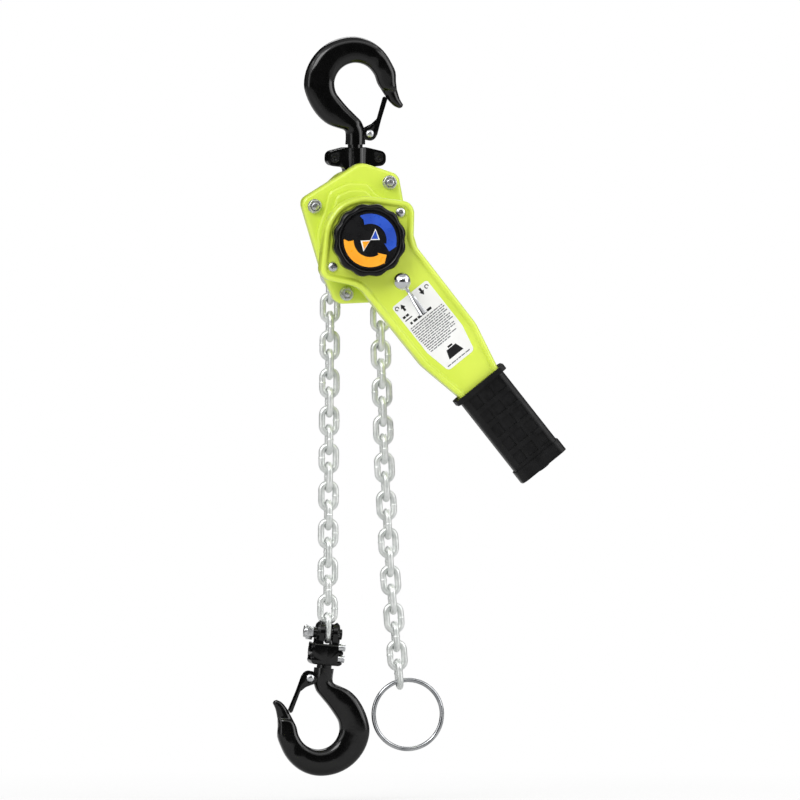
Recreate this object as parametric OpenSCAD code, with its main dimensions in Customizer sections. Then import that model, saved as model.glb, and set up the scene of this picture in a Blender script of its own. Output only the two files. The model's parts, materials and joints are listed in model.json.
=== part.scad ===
// Come along winch of the ratchet lever chain hoist kind.
// +Z is up, the hand wheel faces -Y, and the origin is the centre of the top hook's seat.

/* [Chain] */
// Wire diameter of a chain link
chain_wire = 7; // [6.8:0.1:7.1]
// Distance from one link's centre to the next
chain_pitch = 21; // [20.8:0.1:21.2]
// Clear width inside a link
chain_inner_w = 9.1; // [8.8:0.1:9.4]
// Play between two hooked links
chain_slack = 0.3; // [0.2:0.05:0.4]
// Links below the sheave on the load side
load_links = 21; // [17:2:25]
// Links below the sheave on the tail side
tail_links = 24; // [18:2:26]

/* [Hooks] */
// Radius of the seat inside a hook
seat_r = 24.3; // [23.8:0.1:24.8]
// Half thickness of a hook, front to back
hook_half_t = 11; // [10:0.5:12]
// Distance from the seat's centre to the end of the shank
shank_end = 67; // [66:0.5:68]
// Radius of the shank above the neck
shank_r = 11.2; // [10.8:0.1:11.6]
// Radius of the swivel neck
neck_r = 8.3; // [7.5:0.1:8.6]
// Radius of the collar that keeps the neck in its yoke
neck_collar_r = 10.6; // [10:0.1:11]
// Radius of the latch rivet's shank
rivet_r = 2.5; // [2:0.1:2.8]
// Wall of the stamped latch
latch_wall = 1.6; // [1.2:0.1:1.8]

/* [Top yoke] */
// Distance from the middle of the yoke to a screw
top_screw_x = 24.8; // [24:0.2:26]
// Half thickness of the yoke at its screws
top_yoke_half_t = 12; // [11:0.5:13]
// Radius of the pin that the frame hangs on
top_pin_r = 6; // [5:0.25:6.5]
// Height of the top pin above the sheave axis
top_pin_h = 62; // [61:0.5:64]

/* [Frame] */
// Distance from the hook seat down to the sheave axis
axis_drop = 170.5; // [169:0.5:173]
// Distance from the middle plane to the inside of a side plate
plate_gap = 17; // [16.8:0.1:17.4]
// Thickness of a side plate
plate_t = 4; // [3:0.5:4.5]
// Sheet thickness of the brake cover
cover_wall = 2.2; // [1.6:0.2:2.6]
// Depth of the brake cover's flat part
cover_depth = 15; // [14:0.5:16]
// Depth of the domed part in front of it
dome_depth = 14; // [13.5:0.25:14.5]
// Depth of the gear cover
gear_cover_depth = 36; // [35:0.5:40]
// Radius of a stay bolt
stay_r = 4; // [3:0.25:4.5]
// Width across the flats of a stay bolt's nut
stay_nut_af = 13; // [12:0.5:14]

/* [Lever] */
// Angle of the lever from straight down
lever_angle = 38.4; // [0:0.2:80]
// Radius of the lever's round head
head_r = 49; // [48:0.5:51]
// Distance from the axis to a lever screw
ear_x = 48.9; // [48:0.2:50]
// Radius of the lobe round a lever screw
ear_r = 14.4; // [13.5:0.1:15]
// Half width of the lever's handle
handle_half_w = 38.3; // [37.5:0.1:39]
// Half width of the lever where the grip starts
handle_end_half_w = 27; // [26.5:0.1:27.4]
// Distance from the axis to where the handle starts to taper
taper_start = 150.6; // [148:0.2:154]
// Distance from the axis to the start of the grip
grip_start = 204.5; // [201:0.5:208]
// Distance from the axis to the end of the grip
grip_end = 326; // [321:0.5:331]
// Sheet thickness of the lever
lever_wall = 2; // [1.4:0.2:2.4]
// Width of the raised rim round the lever
rim_w = 9; // [8.5:0.25:10]
// Height of the raised rim
rim_h = 3.5; // [2.5:0.25:4]

/* [Brake and hand wheel] */
// Teeth on the ratchet disc and on the change gear
ratchet_teeth = 24; // [24:24:24]
// Tip radius of the ratchet disc
ratchet_r = 38; // [37.5:0.1:38.4]
// Radius of the friction discs
disc_r = 31; // [28:0.5:33]
// Outer radius of the hand wheel
wheel_r = 41.5; // [40:0.25:42.5]
// Thickness of the hand wheel
wheel_t = 22; // [20:0.5:24]
// Scallops round the hand wheel
wheel_scallops = 12; // [8:1:14]
// Diameter of the selector's ball
ball_d = 19.8; // [18:0.2:21]
// Distance from the axis to the selector's shaft
selector_x = 58.4; // [58:0.1:60]

/* [Gears] */
// Distance between the drive shaft and an intermediate shaft
gear_centres = 30; // [29.5:0.1:30.5]
// Pressure angle of the teeth
pressure = 25; // [24:0.5:26]
// Play between two meshed teeth
gear_backlash = 0.3; // [0.25:0.05:0.4]
// Radius of the drive shaft
shaft_r = 5.5; // [5:0.1:5.8]

/* [Bottom yoke and ring] */
// Radius of the chain pin
chain_pin_r = 4.2; // [3.8:0.1:4.4]
// Distance from the chain pin to the bottom hook's seat centre
bottom_drop = 106; // [105:0.5:108]
// Lean of the bottom hook
bottom_lean = 5.4; // [4:0.1:5.6]
// Lean of the end ring
ring_lean = 13.5; // [13:0.5:30]
// Mean radius of the end ring
ring_r = 38.5; // [36:0.25:40]
// Wire diameter of the end ring
ring_wire = 5; // [4:0.25:5.5]

/* [Hidden] */
$fn = 72;

// Clearances
run_gap = 0.05;
side_gap = 0.2;
part_gap = 0.3;
eps = 0.01;
STEEL = "#b8babc";
BLACK = "#17181a";
GREEN = "#c6dc43";
RUBBER = "#202123";

// Link sizes: the crown's wire centre, and the hinge points on either side of a link
link_inner_half = chain_pitch / 2 + chain_slack / 2;
crown = link_inner_half + chain_wire / 2;
crown_in = chain_pitch - crown;
wire_r = chain_wire / 2;
bend_r = chain_inner_w / 2 + wire_r;
link_half_w = bend_r + wire_r;
straight_half = crown - bend_r;

// Pocket wheel with four pockets: the hinge points lie on one circle
POCKETS = 4;
link_turn = 180 / POCKETS;
pivot_r = sqrt(crown ^ 2 + crown_in ^ 2 + 2 * crown * crown_in * cos(link_turn)) / sin(link_turn);
flat_half_angle = asin(crown / pivot_r);
edge_half_angle = asin(crown_in / pivot_r);
flat_r = pivot_r * cos(flat_half_angle);
edge_r = pivot_r * cos(edge_half_angle);
pivot_rest = -3;
pocket_floor_r = flat_r - wire_r - part_gap;
groove_r = edge_r - link_half_w - 0.5;
flange_r = pivot_r + 0.3;
flange_half = link_half_w + 2;

// The chain's runs: where each starts, and each stretch's lean from straight down
load_lean = 0.5;
load_cuts = [0, 7, 14, load_links];
tail_leans = [0.5, 1.8, 3, 5];
tail_cuts = [0, 6, 12, 18, tail_links];
load_pivot = [-pivot_r * cos(pivot_rest), pivot_r * sin(pivot_rest)];
tail_pivot = -load_pivot;

// Ends of the two hooks' necks, from the seat
top_neck = [shank_end + 23.5, shank_end + 31];
bottom_neck = [bottom_drop - 23.8, bottom_drop - 19.2];

// Y positions, from the middle plane to the front
plate_out = plate_gap + plate_t;
cover_face = plate_out + side_gap + cover_depth;
dome_face = cover_face + dome_depth;
hub_y = plate_out + 2 * part_gap;
hub_t = 4;
disc_t = 2;
ratchet_t = 5;
disc1_y = hub_y + hub_t + side_gap;
ratchet_y = disc1_y + disc_t + side_gap;
disc2_y = ratchet_y + ratchet_t + side_gap;
press_y = disc2_y + disc_t + side_gap;
press_t = 4;
lever_back = dome_face + 6.3;
lever_split = lever_back + 13.5;
lever_front = lever_back + 27.5;
rear_panel = lever_back + rim_h + lever_wall;
collar_face = rear_panel - side_gap;
change_y = rear_panel + 2 * part_gap;
change_t = 8;
wheel_y = lever_front + 2;
wheel_face = wheel_y + wheel_t;
shaft_front = wheel_face - 6;

// Y positions, from the middle plane to the back
gear2_y = plate_out + 2;
gear2_t = 8;
gear1_y = gear2_y + gear2_t + 5;
gear1_t = 9;
gear_cover_face = plate_out + side_gap + gear_cover_depth;
boss_y = gear1_y + gear1_t + 1;

// Gears: teeth, and the modules that the shaft distance sets
pinion_teeth = 12;
big_teeth = 36;
small_teeth = 12;
load_teeth = 32;
module_1 = 2 * gear_centres / (pinion_teeth + big_teeth);
module_2 = 2 * gear_centres / (small_teeth + load_teeth);
addendum = 0.95;
dedendum = 1.25;

// Outlines seen from the front, about the sheave axis, counter-clockwise
cover_outline = [[1, 85], [-67.3, 42.8], [-44.2, -34], [-27, -73.5], [46.3, -70.8], [67.7, -19.1], [49, 42], [43.7, 71]];
cover_rounding = [16, 11, 40, 12, 12, 30, 30, 12];
plate_inset = [3, 3, 3, 3, 3, 3, 3, 3];
rear_plate_inset = [5, 6.5, 6, 3, 3, 3, 3, 3];
gear_outline = [[14, 80], [-14, 69], [-38, 47], [-40, 8], [-31, -34], [-21.5, -72], [46, -69.3], [66, -19.5], [47.5, 41.7], [42.5, 70]];
gear_rounding = [14, 20, 14, 30, 20, 11, 12, 26, 26, 12];
stays = [[33, 62], [-51.5, 36], [47.3, -46], [-15.4, -61.5]];
rear_stays = [stays[0], stays[2], stays[3]];
through_stays = 3;

// Bolt that stands on an edge: half its width across the corners
function corners(af) = af / 2 / cos(30);
function dir(a) = [cos(a), sin(a)];
function unit(v) = v / norm(v);
function pick(r, i) = is_list(r) ? r[i] : r;
function wrap(a) = a > 180 ? a - 360 : a < -180 ? a + 360 : a;
function prev(p, i) = p[(i + len(p) - 1) % len(p)];
function next(p, i) = p[(i + 1) % len(p)];

// Arc that rounds corner i of outline p
function corner(p, i, r, n) =
    let (u = unit(prev(p, i) - p[i]),
        w = unit(next(p, i) - p[i]),
        half = acos(u * w) / 2,
        centre = p[i] + unit(u + w) * r / sin(half),
        start = p[i] + u * r / tan(half) - centre,
        end = p[i] + w * r / tan(half) - centre,
        a = atan2(start[1], start[0]),
        turn = wrap(atan2(end[1], end[0]) - a))
    [for (k = [0:n]) centre + r * dir(a + turn * k / n)];
function rounded(p, r, n = 6) = [for (i = [0:len(p) - 1]) each corner(p, i, pick(r, i), n)];

// Outline p, counter-clockwise, drawn in by t: one distance, or one for the edge after each corner
function inset(p, t) =
    [for (i = [0:len(p) - 1])
        let (a = unit(p[i] - prev(p, i)),
            b = unit(next(p, i) - p[i]),
            na = [-a[1], a[0]],
            nb = [-b[1], b[0]],
            c = na * nb,
            ta = pick(t, (i + len(p) - 1) % len(p)),
            tb = pick(t, i))
        p[i] + (na * (ta - tb * c) + nb * (tb - ta * c)) / (1 - c * c)];
function shrink(r, t) = [for (v = r) max(v - t, 1)];
function cover_shape(t) = rounded(inset(cover_outline, t), shrink(cover_rounding, t));
function plate_shape(t) = rounded(inset(cover_outline, t), shrink(cover_rounding, min(t)));
function gear_cover_shape(t) = rounded(inset(gear_outline, t), shrink(gear_rounding, t));

// Involute teeth
function inv(a) = tan(a) * 180 / PI - a;
function half_tooth(n, m, r) =
    let (pitch_r = n * m / 2,
        base_r = pitch_r * cos(pressure),
        play = gear_backlash / 4 / pitch_r * 180 / PI)
    90 / n - play + inv(pressure) - (r > base_r ? inv(acos(base_r / r)) : 0);
function gear_radii(n, m) =
    let (pitch_r = n * m / 2,
        root = pitch_r - dedendum * m,
        tip = pitch_r + addendum * m,
        base = max(pitch_r * cos(pressure), root + 0.3))
    [root, base, (base + tip) / 2, tip];
function gear_points(n, m) =
    let (rr = gear_radii(n, m))
    [for (k = [0:n - 1]) each concat(
        [for (r = rr) r * dir(360 * k / n - half_tooth(n, m, r))],
        [for (i = [len(rr) - 1:-1:0]) rr[i] * dir(360 * k / n + half_tooth(n, m, rr[i]))])];

// Extrudes an outline in X and Z from y0 to y1
module slab(y0, y1) translate([0, y1, 0]) rotate([90, 0, 0]) linear_extrude(y1 - y0) children();
module rod(r, y0, y1, x = 0, z = 0) translate([x, y1, z]) rotate([90, 0, 0]) cylinder(r = r, h = y1 - y0);
module taper(r0, r1, y0, y1) translate([0, y1, 0]) rotate([90, 0, 0]) cylinder(r1 = r1, r2 = r0, h = y1 - y0);
module hex_rod(af, y0, y1, x = 0, z = 0)
    translate([x, y1, z]) rotate([90, 0, 0]) cylinder(r = corners(af), h = y1 - y0, $fn = 6);
module at_axis() translate([0, 0, -axis_drop]) children();
module at_stays(places = stays) for (s = places) translate([s[0], 0, s[1]]) children();
module in_lever() at_axis() rotate([0, 90 - lever_angle, 0]) children();
module gear(n, m, y0, y1, a) rotate([0, -a, 0]) slab(y0, y1) polygon(gear_points(n, m));

// One chain link, long in Z, its ring in the XZ plane
module link() {
    for (s = [0, 180]) rotate([0, s, 0]) {
        translate([0, 0, straight_half]) rotate([90, 0, 0])
            rotate_extrude(angle = 180) translate([bend_r, 0]) circle(wire_r, $fn = 48);
        translate([bend_r, 0, -straight_half])
            cylinder(r = wire_r, h = 2 * straight_half, $fn = 48);
    }
}
module flat_link() rotate([0, 0, 90]) link();

// Lean of link i of a run, and the place of link i's hinge at its top end
function run_lean(i, cuts, leans, j = 0) = i < cuts[j + 1] || j == len(leans) - 1 ? leans[j] : run_lean(i, cuts, leans, j + 1);
function down(a) = [sin(a), -cos(a)];

// ---- Hooks. Both are drawn with the seat at the origin and the shank going down.
// Stations from the shank to the tip: the inner point, the outer point and the half thickness
hook_in_r = seat_r - 0.8;
crown_keys = [[180, 57.6], [165, 57.3], [150, 56.6], [135, 55.8], [120, 54.9], [105, 54], [90, 53.2],
    [75, 51.8], [60, 50], [45, 48.3], [30, 47]];
hook_keys = [
    [shank_r - 0.1, -shank_end, 0.1 - shank_r, -shank_end, shank_r - 0.1],
    [shank_r - 0.1, -60, -10.6, -58, shank_r - 0.3],
    [10.5, -51, -12, -51.5, 10.5],
    [6.5, -41.5, -20, -48.5, 10.4],
    [-1, -33.5, -30.5, -44.5, 10.6],
    [-9, -25.5, -40.5, -36.5, hook_half_t],
    [-16.6, -16.6, -49, -25, hook_half_t],
    [-22, -9, -55, -12, hook_half_t],
    each [for (k = crown_keys) [hook_in_r * cos(k[0]), hook_in_r * sin(k[0]), k[1] * cos(k[0]),
        k[1] * sin(k[0]), k[0] > 50 ? hook_half_t : hook_half_t - 1]],
    [22.3, 8.4, 45.2, 13.5, hook_half_t - 1.7],
    [25.2, 1, 45.7, 3, hook_half_t - 2.6],
    [29.5, -6.5, 47.2, -7, 7.6],
    [33.8, -13, 50, -16, 6.9],
    [38, -19, 52.4, -20.5, 6],
    [44, -24.7, 53.9, -23, 5],
    [49.5, -27, 53, -25.5, 3.5]];
HOOK_STEPS = 2;
function spline(a, b, c, d, t) =
    0.5 * (2 * b + (c - a) * t + (2 * a - 5 * b + 4 * c - d) * t ^ 2 + (3 * b - 3 * c + d - a) * t ^ 3);
function hook_station(k, t) =
    let (n = len(hook_keys) - 1)
    spline(hook_keys[max(k - 1, 0)], hook_keys[k], hook_keys[min(k + 1, n)], hook_keys[min(k + 2, n)], t);
hook_stations = [for (k = [0:len(hook_keys) - 2]) for (j = [0:HOOK_STEPS - 1]) hook_station(k, j / HOOK_STEPS),
    hook_keys[len(hook_keys) - 1]];
HOOK_SIDES = 16;
function super(v, n) = sign(v) * abs(v) ^ (2 / n);
function hook_ring(s, square) =
    let (mid = [s[0] + s[2], s[1] + s[3]] / 2,
        arm = [s[2] - s[0], s[3] - s[1]] / 2)
    [for (i = [0:HOOK_SIDES - 1])
        let (a = (i + 0.5) * 360 / HOOK_SIDES,
            p = mid + arm * super(cos(a), square))
        [p[0], s[4] * super(sin(a), square), p[1]]];
module hook_body() {
    count = len(hook_stations);
    points = [for (i = [0:count - 1]) each hook_ring(hook_stations[i], i < 5 ? 2.1 : i > count - 6 ? 2.2 : 2.8)];
    polyhedron(points, [
        [for (j = [HOOK_SIDES - 1:-1:0]) j],
        for (i = [0:count - 2]) for (j = [0:HOOK_SIDES - 1])
            let (k = (j + 1) % HOOK_SIDES, b = i * HOOK_SIDES, t = b + HOOK_SIDES)
            each [[b + j, b + k, t + j], [b + k, t + k, t + j]],
        [for (j = [0:HOOK_SIDES - 1]) (count - 1) * HOOK_SIDES + j]]);
}
rivet = [15.4, -54.9];
lug_half = 6.1;
lug_r = 6.2;
cheek_r = 7.8;
spring_slot = 2.2;
module hook(neck_end, collar_start) {
    difference() {
        union() {
            hook_body();
            rod(lug_r, -lug_half, lug_half, rivet[0], rivet[1]);
            translate([0, 0, -neck_end]) cylinder(r = neck_r, h = neck_end - shank_end + 1);
            translate([0, 0, -neck_end]) cylinder(r = neck_collar_r, h = neck_end - collar_start);
        }
        rod(seat_r, -hook_half_t - 1, hook_half_t + 1);
        rod(rivet_r + run_gap, -shank_r - 1, shank_r + 1, rivet[0], rivet[1]);
        for (s = [0, 180]) rotate([0, 0, s])
            rod(cheek_r + 0.6, lug_half, shank_r + 1, rivet[0] * cos(s), rivet[1]);
        rod(cheek_r, spring_slot, lug_half + 1, rivet[0], rivet[1]);
    }
}
latch_tip = [33.6, -14];
cheek_in = lug_half + side_gap;
cheek_out = cheek_in + latch_wall;
module latch() {
    difference() {
        union() {
            rod(cheek_r, -cheek_out, cheek_out, rivet[0], rivet[1]);
            slab(-cheek_out, cheek_out)
                polygon([[12, -47.9], [19.5, -44.3], [25.4, -38.8], latch_tip - [1.6, 1.5], latch_tip,
                    latch_tip + [1.6, -2.4], [28.2, -39], [23.6, -56.5], [18, -61]]);
        }
        slab(-cheek_in, cheek_in)
            polygon([[0, -70], [21.9, -62], [21.9, -56], [26.6, -39.4], [30.6, -27.6], [29, -27], [15, -30]]);
        rod(rivet_r + run_gap, -cheek_out - 1, cheek_out + 1, rivet[0], rivet[1]);
    }
}
module latch_rivet() {
    rod(rivet_r, -cheek_out - side_gap, cheek_out + side_gap, rivet[0], rivet[1]);
    for (s = [0, 180]) rotate([0, 0, s])
        rod(4.5, cheek_out + side_gap, cheek_out + side_gap + 1.6, rivet[0] * cos(s), rivet[1]);
}
module latch_spring()
    difference() {
        rod(rivet_r + 1.6, spring_slot + side_gap, lug_half, rivet[0], rivet[1]);
        rod(rivet_r + run_gap, -1, lug_half + 1, rivet[0], rivet[1]);
    }
module top_hook() color(BLACK) hook(top_neck[1], top_neck[0]);
module top_latch_rivet() color(STEEL) latch_rivet();
module top_latch_spring() color(STEEL) latch_spring();
module top_hook_latch() color(BLACK) latch();

// ---- Top yoke: two halves that meet in the middle plane
yoke_top = shank_end + 3.6;
yoke_ear_z = -82.2;
yoke_ear_r = 8;
top_pin_z = top_pin_h - axis_drop;
yoke_tongue_half = plate_gap - part_gap;
yoke_screw_r = 3;
yoke_head_r = 5;
split_gap = 0.1;
module yoke_half(s) {
    near = s > 0 ? split_gap / 2 : -yoke_tongue_half;
    far = s > 0 ? yoke_tongue_half : -split_gap / 2;
    ear_near = s > 0 ? split_gap / 2 : -top_yoke_half_t;
    ear_far = s > 0 ? top_yoke_half_t : -split_gap / 2;
    head_y = top_yoke_half_t - 4;
    difference() {
        union() {
            slab(ear_near, ear_far) polygon(rounded([[14, -yoke_top], [-14, -yoke_top],
                [-top_screw_x - yoke_ear_r, yoke_ear_z + yoke_ear_r - 1],
                [-top_screw_x - yoke_ear_r, yoke_ear_z - yoke_ear_r],
                [-14, yoke_ear_z - yoke_ear_r - 2], [-11, -104], [11, -104],
                [14, yoke_ear_z - yoke_ear_r - 2], [top_screw_x + yoke_ear_r, yoke_ear_z - yoke_ear_r],
                [top_screw_x + yoke_ear_r, yoke_ear_z + yoke_ear_r - 1]],
                [3, 3, 7, 7, 4, 1, 1, 4, 7, 7]));
            slab(near, far) polygon([[-11, -96], [-11, top_pin_z], [11, top_pin_z], [11, -96]]);
            rod(11, near, far, 0, top_pin_z);
            intersection() {
                translate([0, 0, -104]) cylinder(r = top_yoke_half_t + 3, h = 104 - yoke_top);
                slab(near, far) translate([-9, -104]) square([18, 104 - yoke_top]);
            }
        }
        translate([0, 0, -top_neck[1] - side_gap]) cylinder(r = neck_r + run_gap, h = 40);
        translate([0, 0, -top_neck[1] - side_gap])
            cylinder(r = neck_collar_r + run_gap, h = top_neck[1] - top_neck[0] + 2 * side_gap);
        rod(top_pin_r + run_gap, -plate_gap, plate_gap, 0, top_pin_z);
        for (x = [-top_screw_x, top_screw_x]) {
            rod(yoke_screw_r + run_gap, -plate_gap, plate_gap, x, yoke_ear_z);
            rod(yoke_head_r, -plate_gap, -head_y, x, yoke_ear_z);
            rod(yoke_head_r + 1.5, head_y, plate_gap, x, yoke_ear_z);
        }
    }
}
module top_yoke_front() color(BLACK) yoke_half(-1);
module top_yoke_rear() color(BLACK) yoke_half(1);
module top_yoke_screws()
    color(BLACK) for (x = [-top_screw_x, top_screw_x]) {
        head_y = top_yoke_half_t - 4;
        difference() {
            union() {
                rod(yoke_screw_r, -head_y, head_y + 4.6, x, yoke_ear_z);
                rod(yoke_head_r - side_gap, -head_y - 3.6, -head_y, x, yoke_ear_z);
            }
            hex_rod(4, -head_y - 4, -head_y - 1, x, yoke_ear_z);
        }
        difference() {
            hex_rod(10, head_y, head_y + 4, x, yoke_ear_z);
            rod(yoke_screw_r + run_gap, head_y - 1, head_y + 5, x, yoke_ear_z);
        }
    }
pin_reach = plate_out + 2.6;
module top_pin()
    color(STEEL) {
        rod(top_pin_r, -pin_reach, pin_reach, 0, top_pin_z);
        for (s = [-1, 1]) difference() {
            rod(top_pin_r + 2, min(s * (plate_out + 0.1), s * (plate_out + 1.3)),
                max(s * (plate_out + 0.1), s * (plate_out + 1.3)), 0, top_pin_z);
            rod(top_pin_r, -pin_reach, pin_reach, 0, top_pin_z);
        }
    }

// ---- Frame: side plates, covers, stays, chain guides
journal_r = 14;
bearing_r = 17;
guide_in = pivot_r + 5.5;
guide_out = edge_r + link_half_w + 5;
guide_h = 15;
guide_slot = wire_r + 0.9;
guide_rivet_x = (guide_in + guide_out) / 2;
strip_half_w = 10.5;
strip_top = groove_r + 1;
strip_low = 40;
pawl_pivot_r = ratchet_r + 7.5;
pawl_pivot_a = 120;
pawl_pin_r = 3;
module side_plate(y0, y1, rear) at_axis()
    difference() {
        slab(y0, y1) polygon(plate_shape(rear ? rear_plate_inset : plate_inset));
        rod(bearing_r + run_gap, y0 - 1, y1 + 1);
        rod(top_pin_r + run_gap, y0 - 1, y1 + 1, 0, top_pin_h);
        at_stays() rod(stay_r + run_gap, y0 - 1, y1 + 1);
        if (rear) for (z = [-gear_centres, gear_centres]) rod(4 + run_gap, y0 - 1, y1 + 1, 0, z);
        if (!rear) for (a = [pawl_pivot_a, pawl_pivot_a + 180])
            rod(pawl_pin_r + run_gap, y0 - 1, y1 + 1, pawl_pivot_r * cos(a), pawl_pivot_r * sin(a));
    }
module side_plate_front() color(GREEN) side_plate(-plate_out, -plate_gap, false);
module side_plate_rear() color(GREEN) side_plate(plate_gap, plate_out, true);
stay_front = cover_face + 8;
stay_rear = gear_cover_face + 8;
stay_end = [stay_rear, plate_out + 0.6, stay_rear, -plate_gap];
module stay_bolts() color(STEEL) at_axis() for (i = [0:len(stays) - 1]) translate([stays[i][0], 0, stays[i][1]]) {
    rod(stay_r, -stay_front, stay_end[i]);
    rod(stay_r + 2, -plate_gap, i < through_stays ? plate_gap : 3 - plate_gap);
    if (i >= through_stays) {
        rod(stay_r, plate_gap, stay_rear);
        rod(stay_r + 2, plate_gap - 3, plate_gap);
    }
}
module stay_nut(y0, y1) difference() {
    union() {
        hex_rod(stay_nut_af, y0, y1);
        rod(stay_nut_af / 2 + 1.5, y0 < 0 ? y1 - 1.4 : y0, y0 < 0 ? y1 : y0 + 1.4);
    }
    rod(stay_r + run_gap, y0 - 1, y1 + 1);
}
module stay_nuts_front() color(STEEL) at_axis() at_stays() stay_nut(-cover_face - 6.5, -cover_face);
module stay_nuts_rear() color(STEEL) at_axis() at_stays(rear_stays) stay_nut(gear_cover_face, gear_cover_face + 6.5);
dome_r = 52;
dome_top_r = 47;
cover_collar_r = 24;
sleeve_r = 15;
module brake_cover() color(GREEN) at_axis() {
    back = -plate_out - side_gap;
    difference() {
        union() {
            slab(-cover_face, back) polygon(cover_shape(0));
            taper(dome_top_r, dome_r, -dome_face, -cover_face + 1);
            rod(cover_collar_r, -collar_face, -dome_face + 1);
        }
        slab(-cover_face + cover_wall, back + 1)
            polygon(cover_shape(cover_wall));
        taper(dome_top_r - cover_wall, dome_r - cover_wall, -dome_face + cover_wall, -cover_face + cover_wall + 1);
        rod(sleeve_r + 1, -collar_face - 1, back);
        at_stays() rod(stay_r + side_gap, -cover_face - 1, back + 1);
    }
    at_stays() difference() {
        rod(stay_r + 3, -cover_face + cover_wall - eps, back);
        rod(stay_r + side_gap, -cover_face - 1, back + 1);
    }
}
module gear_cover() color(GREEN) at_axis() {
    back = plate_out + side_gap;
    difference() {
        union() {
            difference() {
                slab(back, gear_cover_face) polygon(gear_cover_shape(0));
                slab(back - 1, gear_cover_face - cover_wall) polygon(gear_cover_shape(cover_wall));
            }
            for (z = [-gear_centres, 0, gear_centres]) rod(8, boss_y, gear_cover_face - 1, 0, z);
            at_stays(rear_stays) rod(stay_r + 3, back, gear_cover_face - 1);
        }
        for (z = [-gear_centres, gear_centres]) rod(4 + run_gap, boss_y - 1, gear_cover_face - 3, 0, z);
        rod(shaft_r + run_gap, boss_y - 1, gear_cover_face - 3);
        at_stays(rear_stays) rod(stay_r + side_gap, back - 1, gear_cover_face + 1);
    }
}
module chain_guide(s) at_axis() {
    difference() {
        slab(-plate_gap, plate_gap) translate([s > 0 ? guide_in : -guide_out, -guide_h]) square([guide_out - guide_in, 2 * guide_h]);
        slab(-guide_slot, guide_slot) translate([s > 0 ? guide_in - 1 : 2.5 - guide_out, -guide_h - 1])
            square([guide_out - guide_in - 1.5, 2 * guide_h + 2]);
    }
}
module chain_guide_left() color(STEEL) chain_guide(-1);
module chain_guide_right() color(STEEL) chain_guide(1);
module chain_stripper() color(STEEL) at_axis() difference() {
    union() {
        slab(-plate_gap, plate_gap) translate([-strip_half_w, -strip_low]) square([2 * strip_half_w, strip_low - flange_r - 1]);
        slab(-wire_r + 0.2, wire_r - 0.2) translate([-strip_half_w, -flange_r - 2]) square([2 * strip_half_w, flange_r - 8]);
    }
    rod(strip_top, -plate_gap - 1, plate_gap + 1);
}
module sheave_bearings() color(STEEL) at_axis() for (y = [-plate_out, plate_gap]) difference() {
    rod(bearing_r, y, y + plate_t);
    rod(journal_r + run_gap, y - 1, y + plate_t + 1);
}

// ---- Sheave, its gear and the links that lie on it
wheel_phase = pivot_rest + edge_half_angle;
pocket_w = link_half_w + part_gap;
pocket_half_l = crown + wire_r + part_gap;
gear_hub_r = 12;
function wheel_turn(i) = wheel_phase + i * link_turn;
module at_wheel(a) rotate([0, a - 90, 0]) children();
module load_sheave() color(STEEL) at_axis() difference() {
    union() {
        rod(flange_r, -flange_half, flange_half);
        rod(journal_r, -plate_out, plate_out);
        rod(gear_hub_r, plate_out - 1, gear2_y + gear2_t + 1);
    }
    difference() {
        rod(flange_r + 1, -guide_slot, guide_slot);
        rod(groove_r, -guide_slot - 1, guide_slot + 1);
    }
    for (i = [1, 3, 5, 7]) at_wheel(wheel_turn(i)) {
        for (x = [-1, 1]) translate([x * (pocket_half_l - pocket_w), 0, pocket_floor_r])
            cylinder(r = pocket_w, h = 20);
        translate([pocket_w - pocket_half_l, -pocket_w, pocket_floor_r])
            cube([2 * (pocket_half_l - pocket_w), 2 * pocket_w, 20]);
    }
    rod(shaft_r + 0.1, -plate_out - 1, gear2_y + gear2_t + 2);
}
module load_gear() color(STEEL) at_axis() difference() {
    gear(load_teeth, module_2, gear2_y, gear2_y + gear2_t, 90);
    rod(gear_hub_r + run_gap, gear2_y - 1, gear2_y + gear2_t + 1);
}
module wrapped_chain() color(STEEL) at_axis() for (i = [0:3]) at_wheel(wheel_turn(i))
    if (i % 2 == 0) translate([0, 0, edge_r]) rotate([0, 90, 0]) link();
    else translate([0, 0, flat_r]) rotate([0, 90, 0]) flat_link();

// ---- Drive shaft, intermediate gears, brake
module drive_shaft() color(STEEL) at_axis() {
    rod(shaft_r, -shaft_front, gear_cover_face - 4);
    gear(pinion_teeth, module_1, gear1_y, gear1_y + gear1_t, 90);
}
module intermediate(s) color(STEEL) at_axis() translate([0, 0, s * gear_centres]) {
    rod(4, plate_gap + 0.5, gear_cover_face - 4);
    difference() {
        union() {
            gear(big_teeth, module_1, gear1_y, gear1_y + gear1_t, -s * 90 + 180 / big_teeth);
            gear(small_teeth, module_2, gear2_y, gear2_y + gear2_t, -s * 90 + 180 / small_teeth);
            rod(6, gear2_y + gear2_t - 1, gear1_y + 1);
        }
        rod(4, gear2_y - 1, gear1_y + gear1_t + 1);
    }
}
module intermediate_gear_top() intermediate(1);
module intermediate_gear_bottom() intermediate(-1);
module brake_hub() color(STEEL) at_axis() difference() {
    union() {
        rod(disc_r, -hub_y - hub_t, -hub_y);
        rod(sleeve_r - 2, -press_y + 0.2, -hub_y);
    }
    rod(shaft_r, -press_y - 1, -hub_y + 1);
}
module washer(r_in, r_out, y0, y1) difference() {
    rod(r_out, y0, y1);
    rod(r_in, y0 - 1, y1 + 1);
}
module friction_discs() color("#5b4a3c") at_axis() for (y = [disc1_y, disc2_y])
    washer(sleeve_r - 2 + part_gap, disc_r, -y - disc_t, -y);
tooth_depth = 4;
ratchet_step = 360 / ratchet_teeth;
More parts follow.
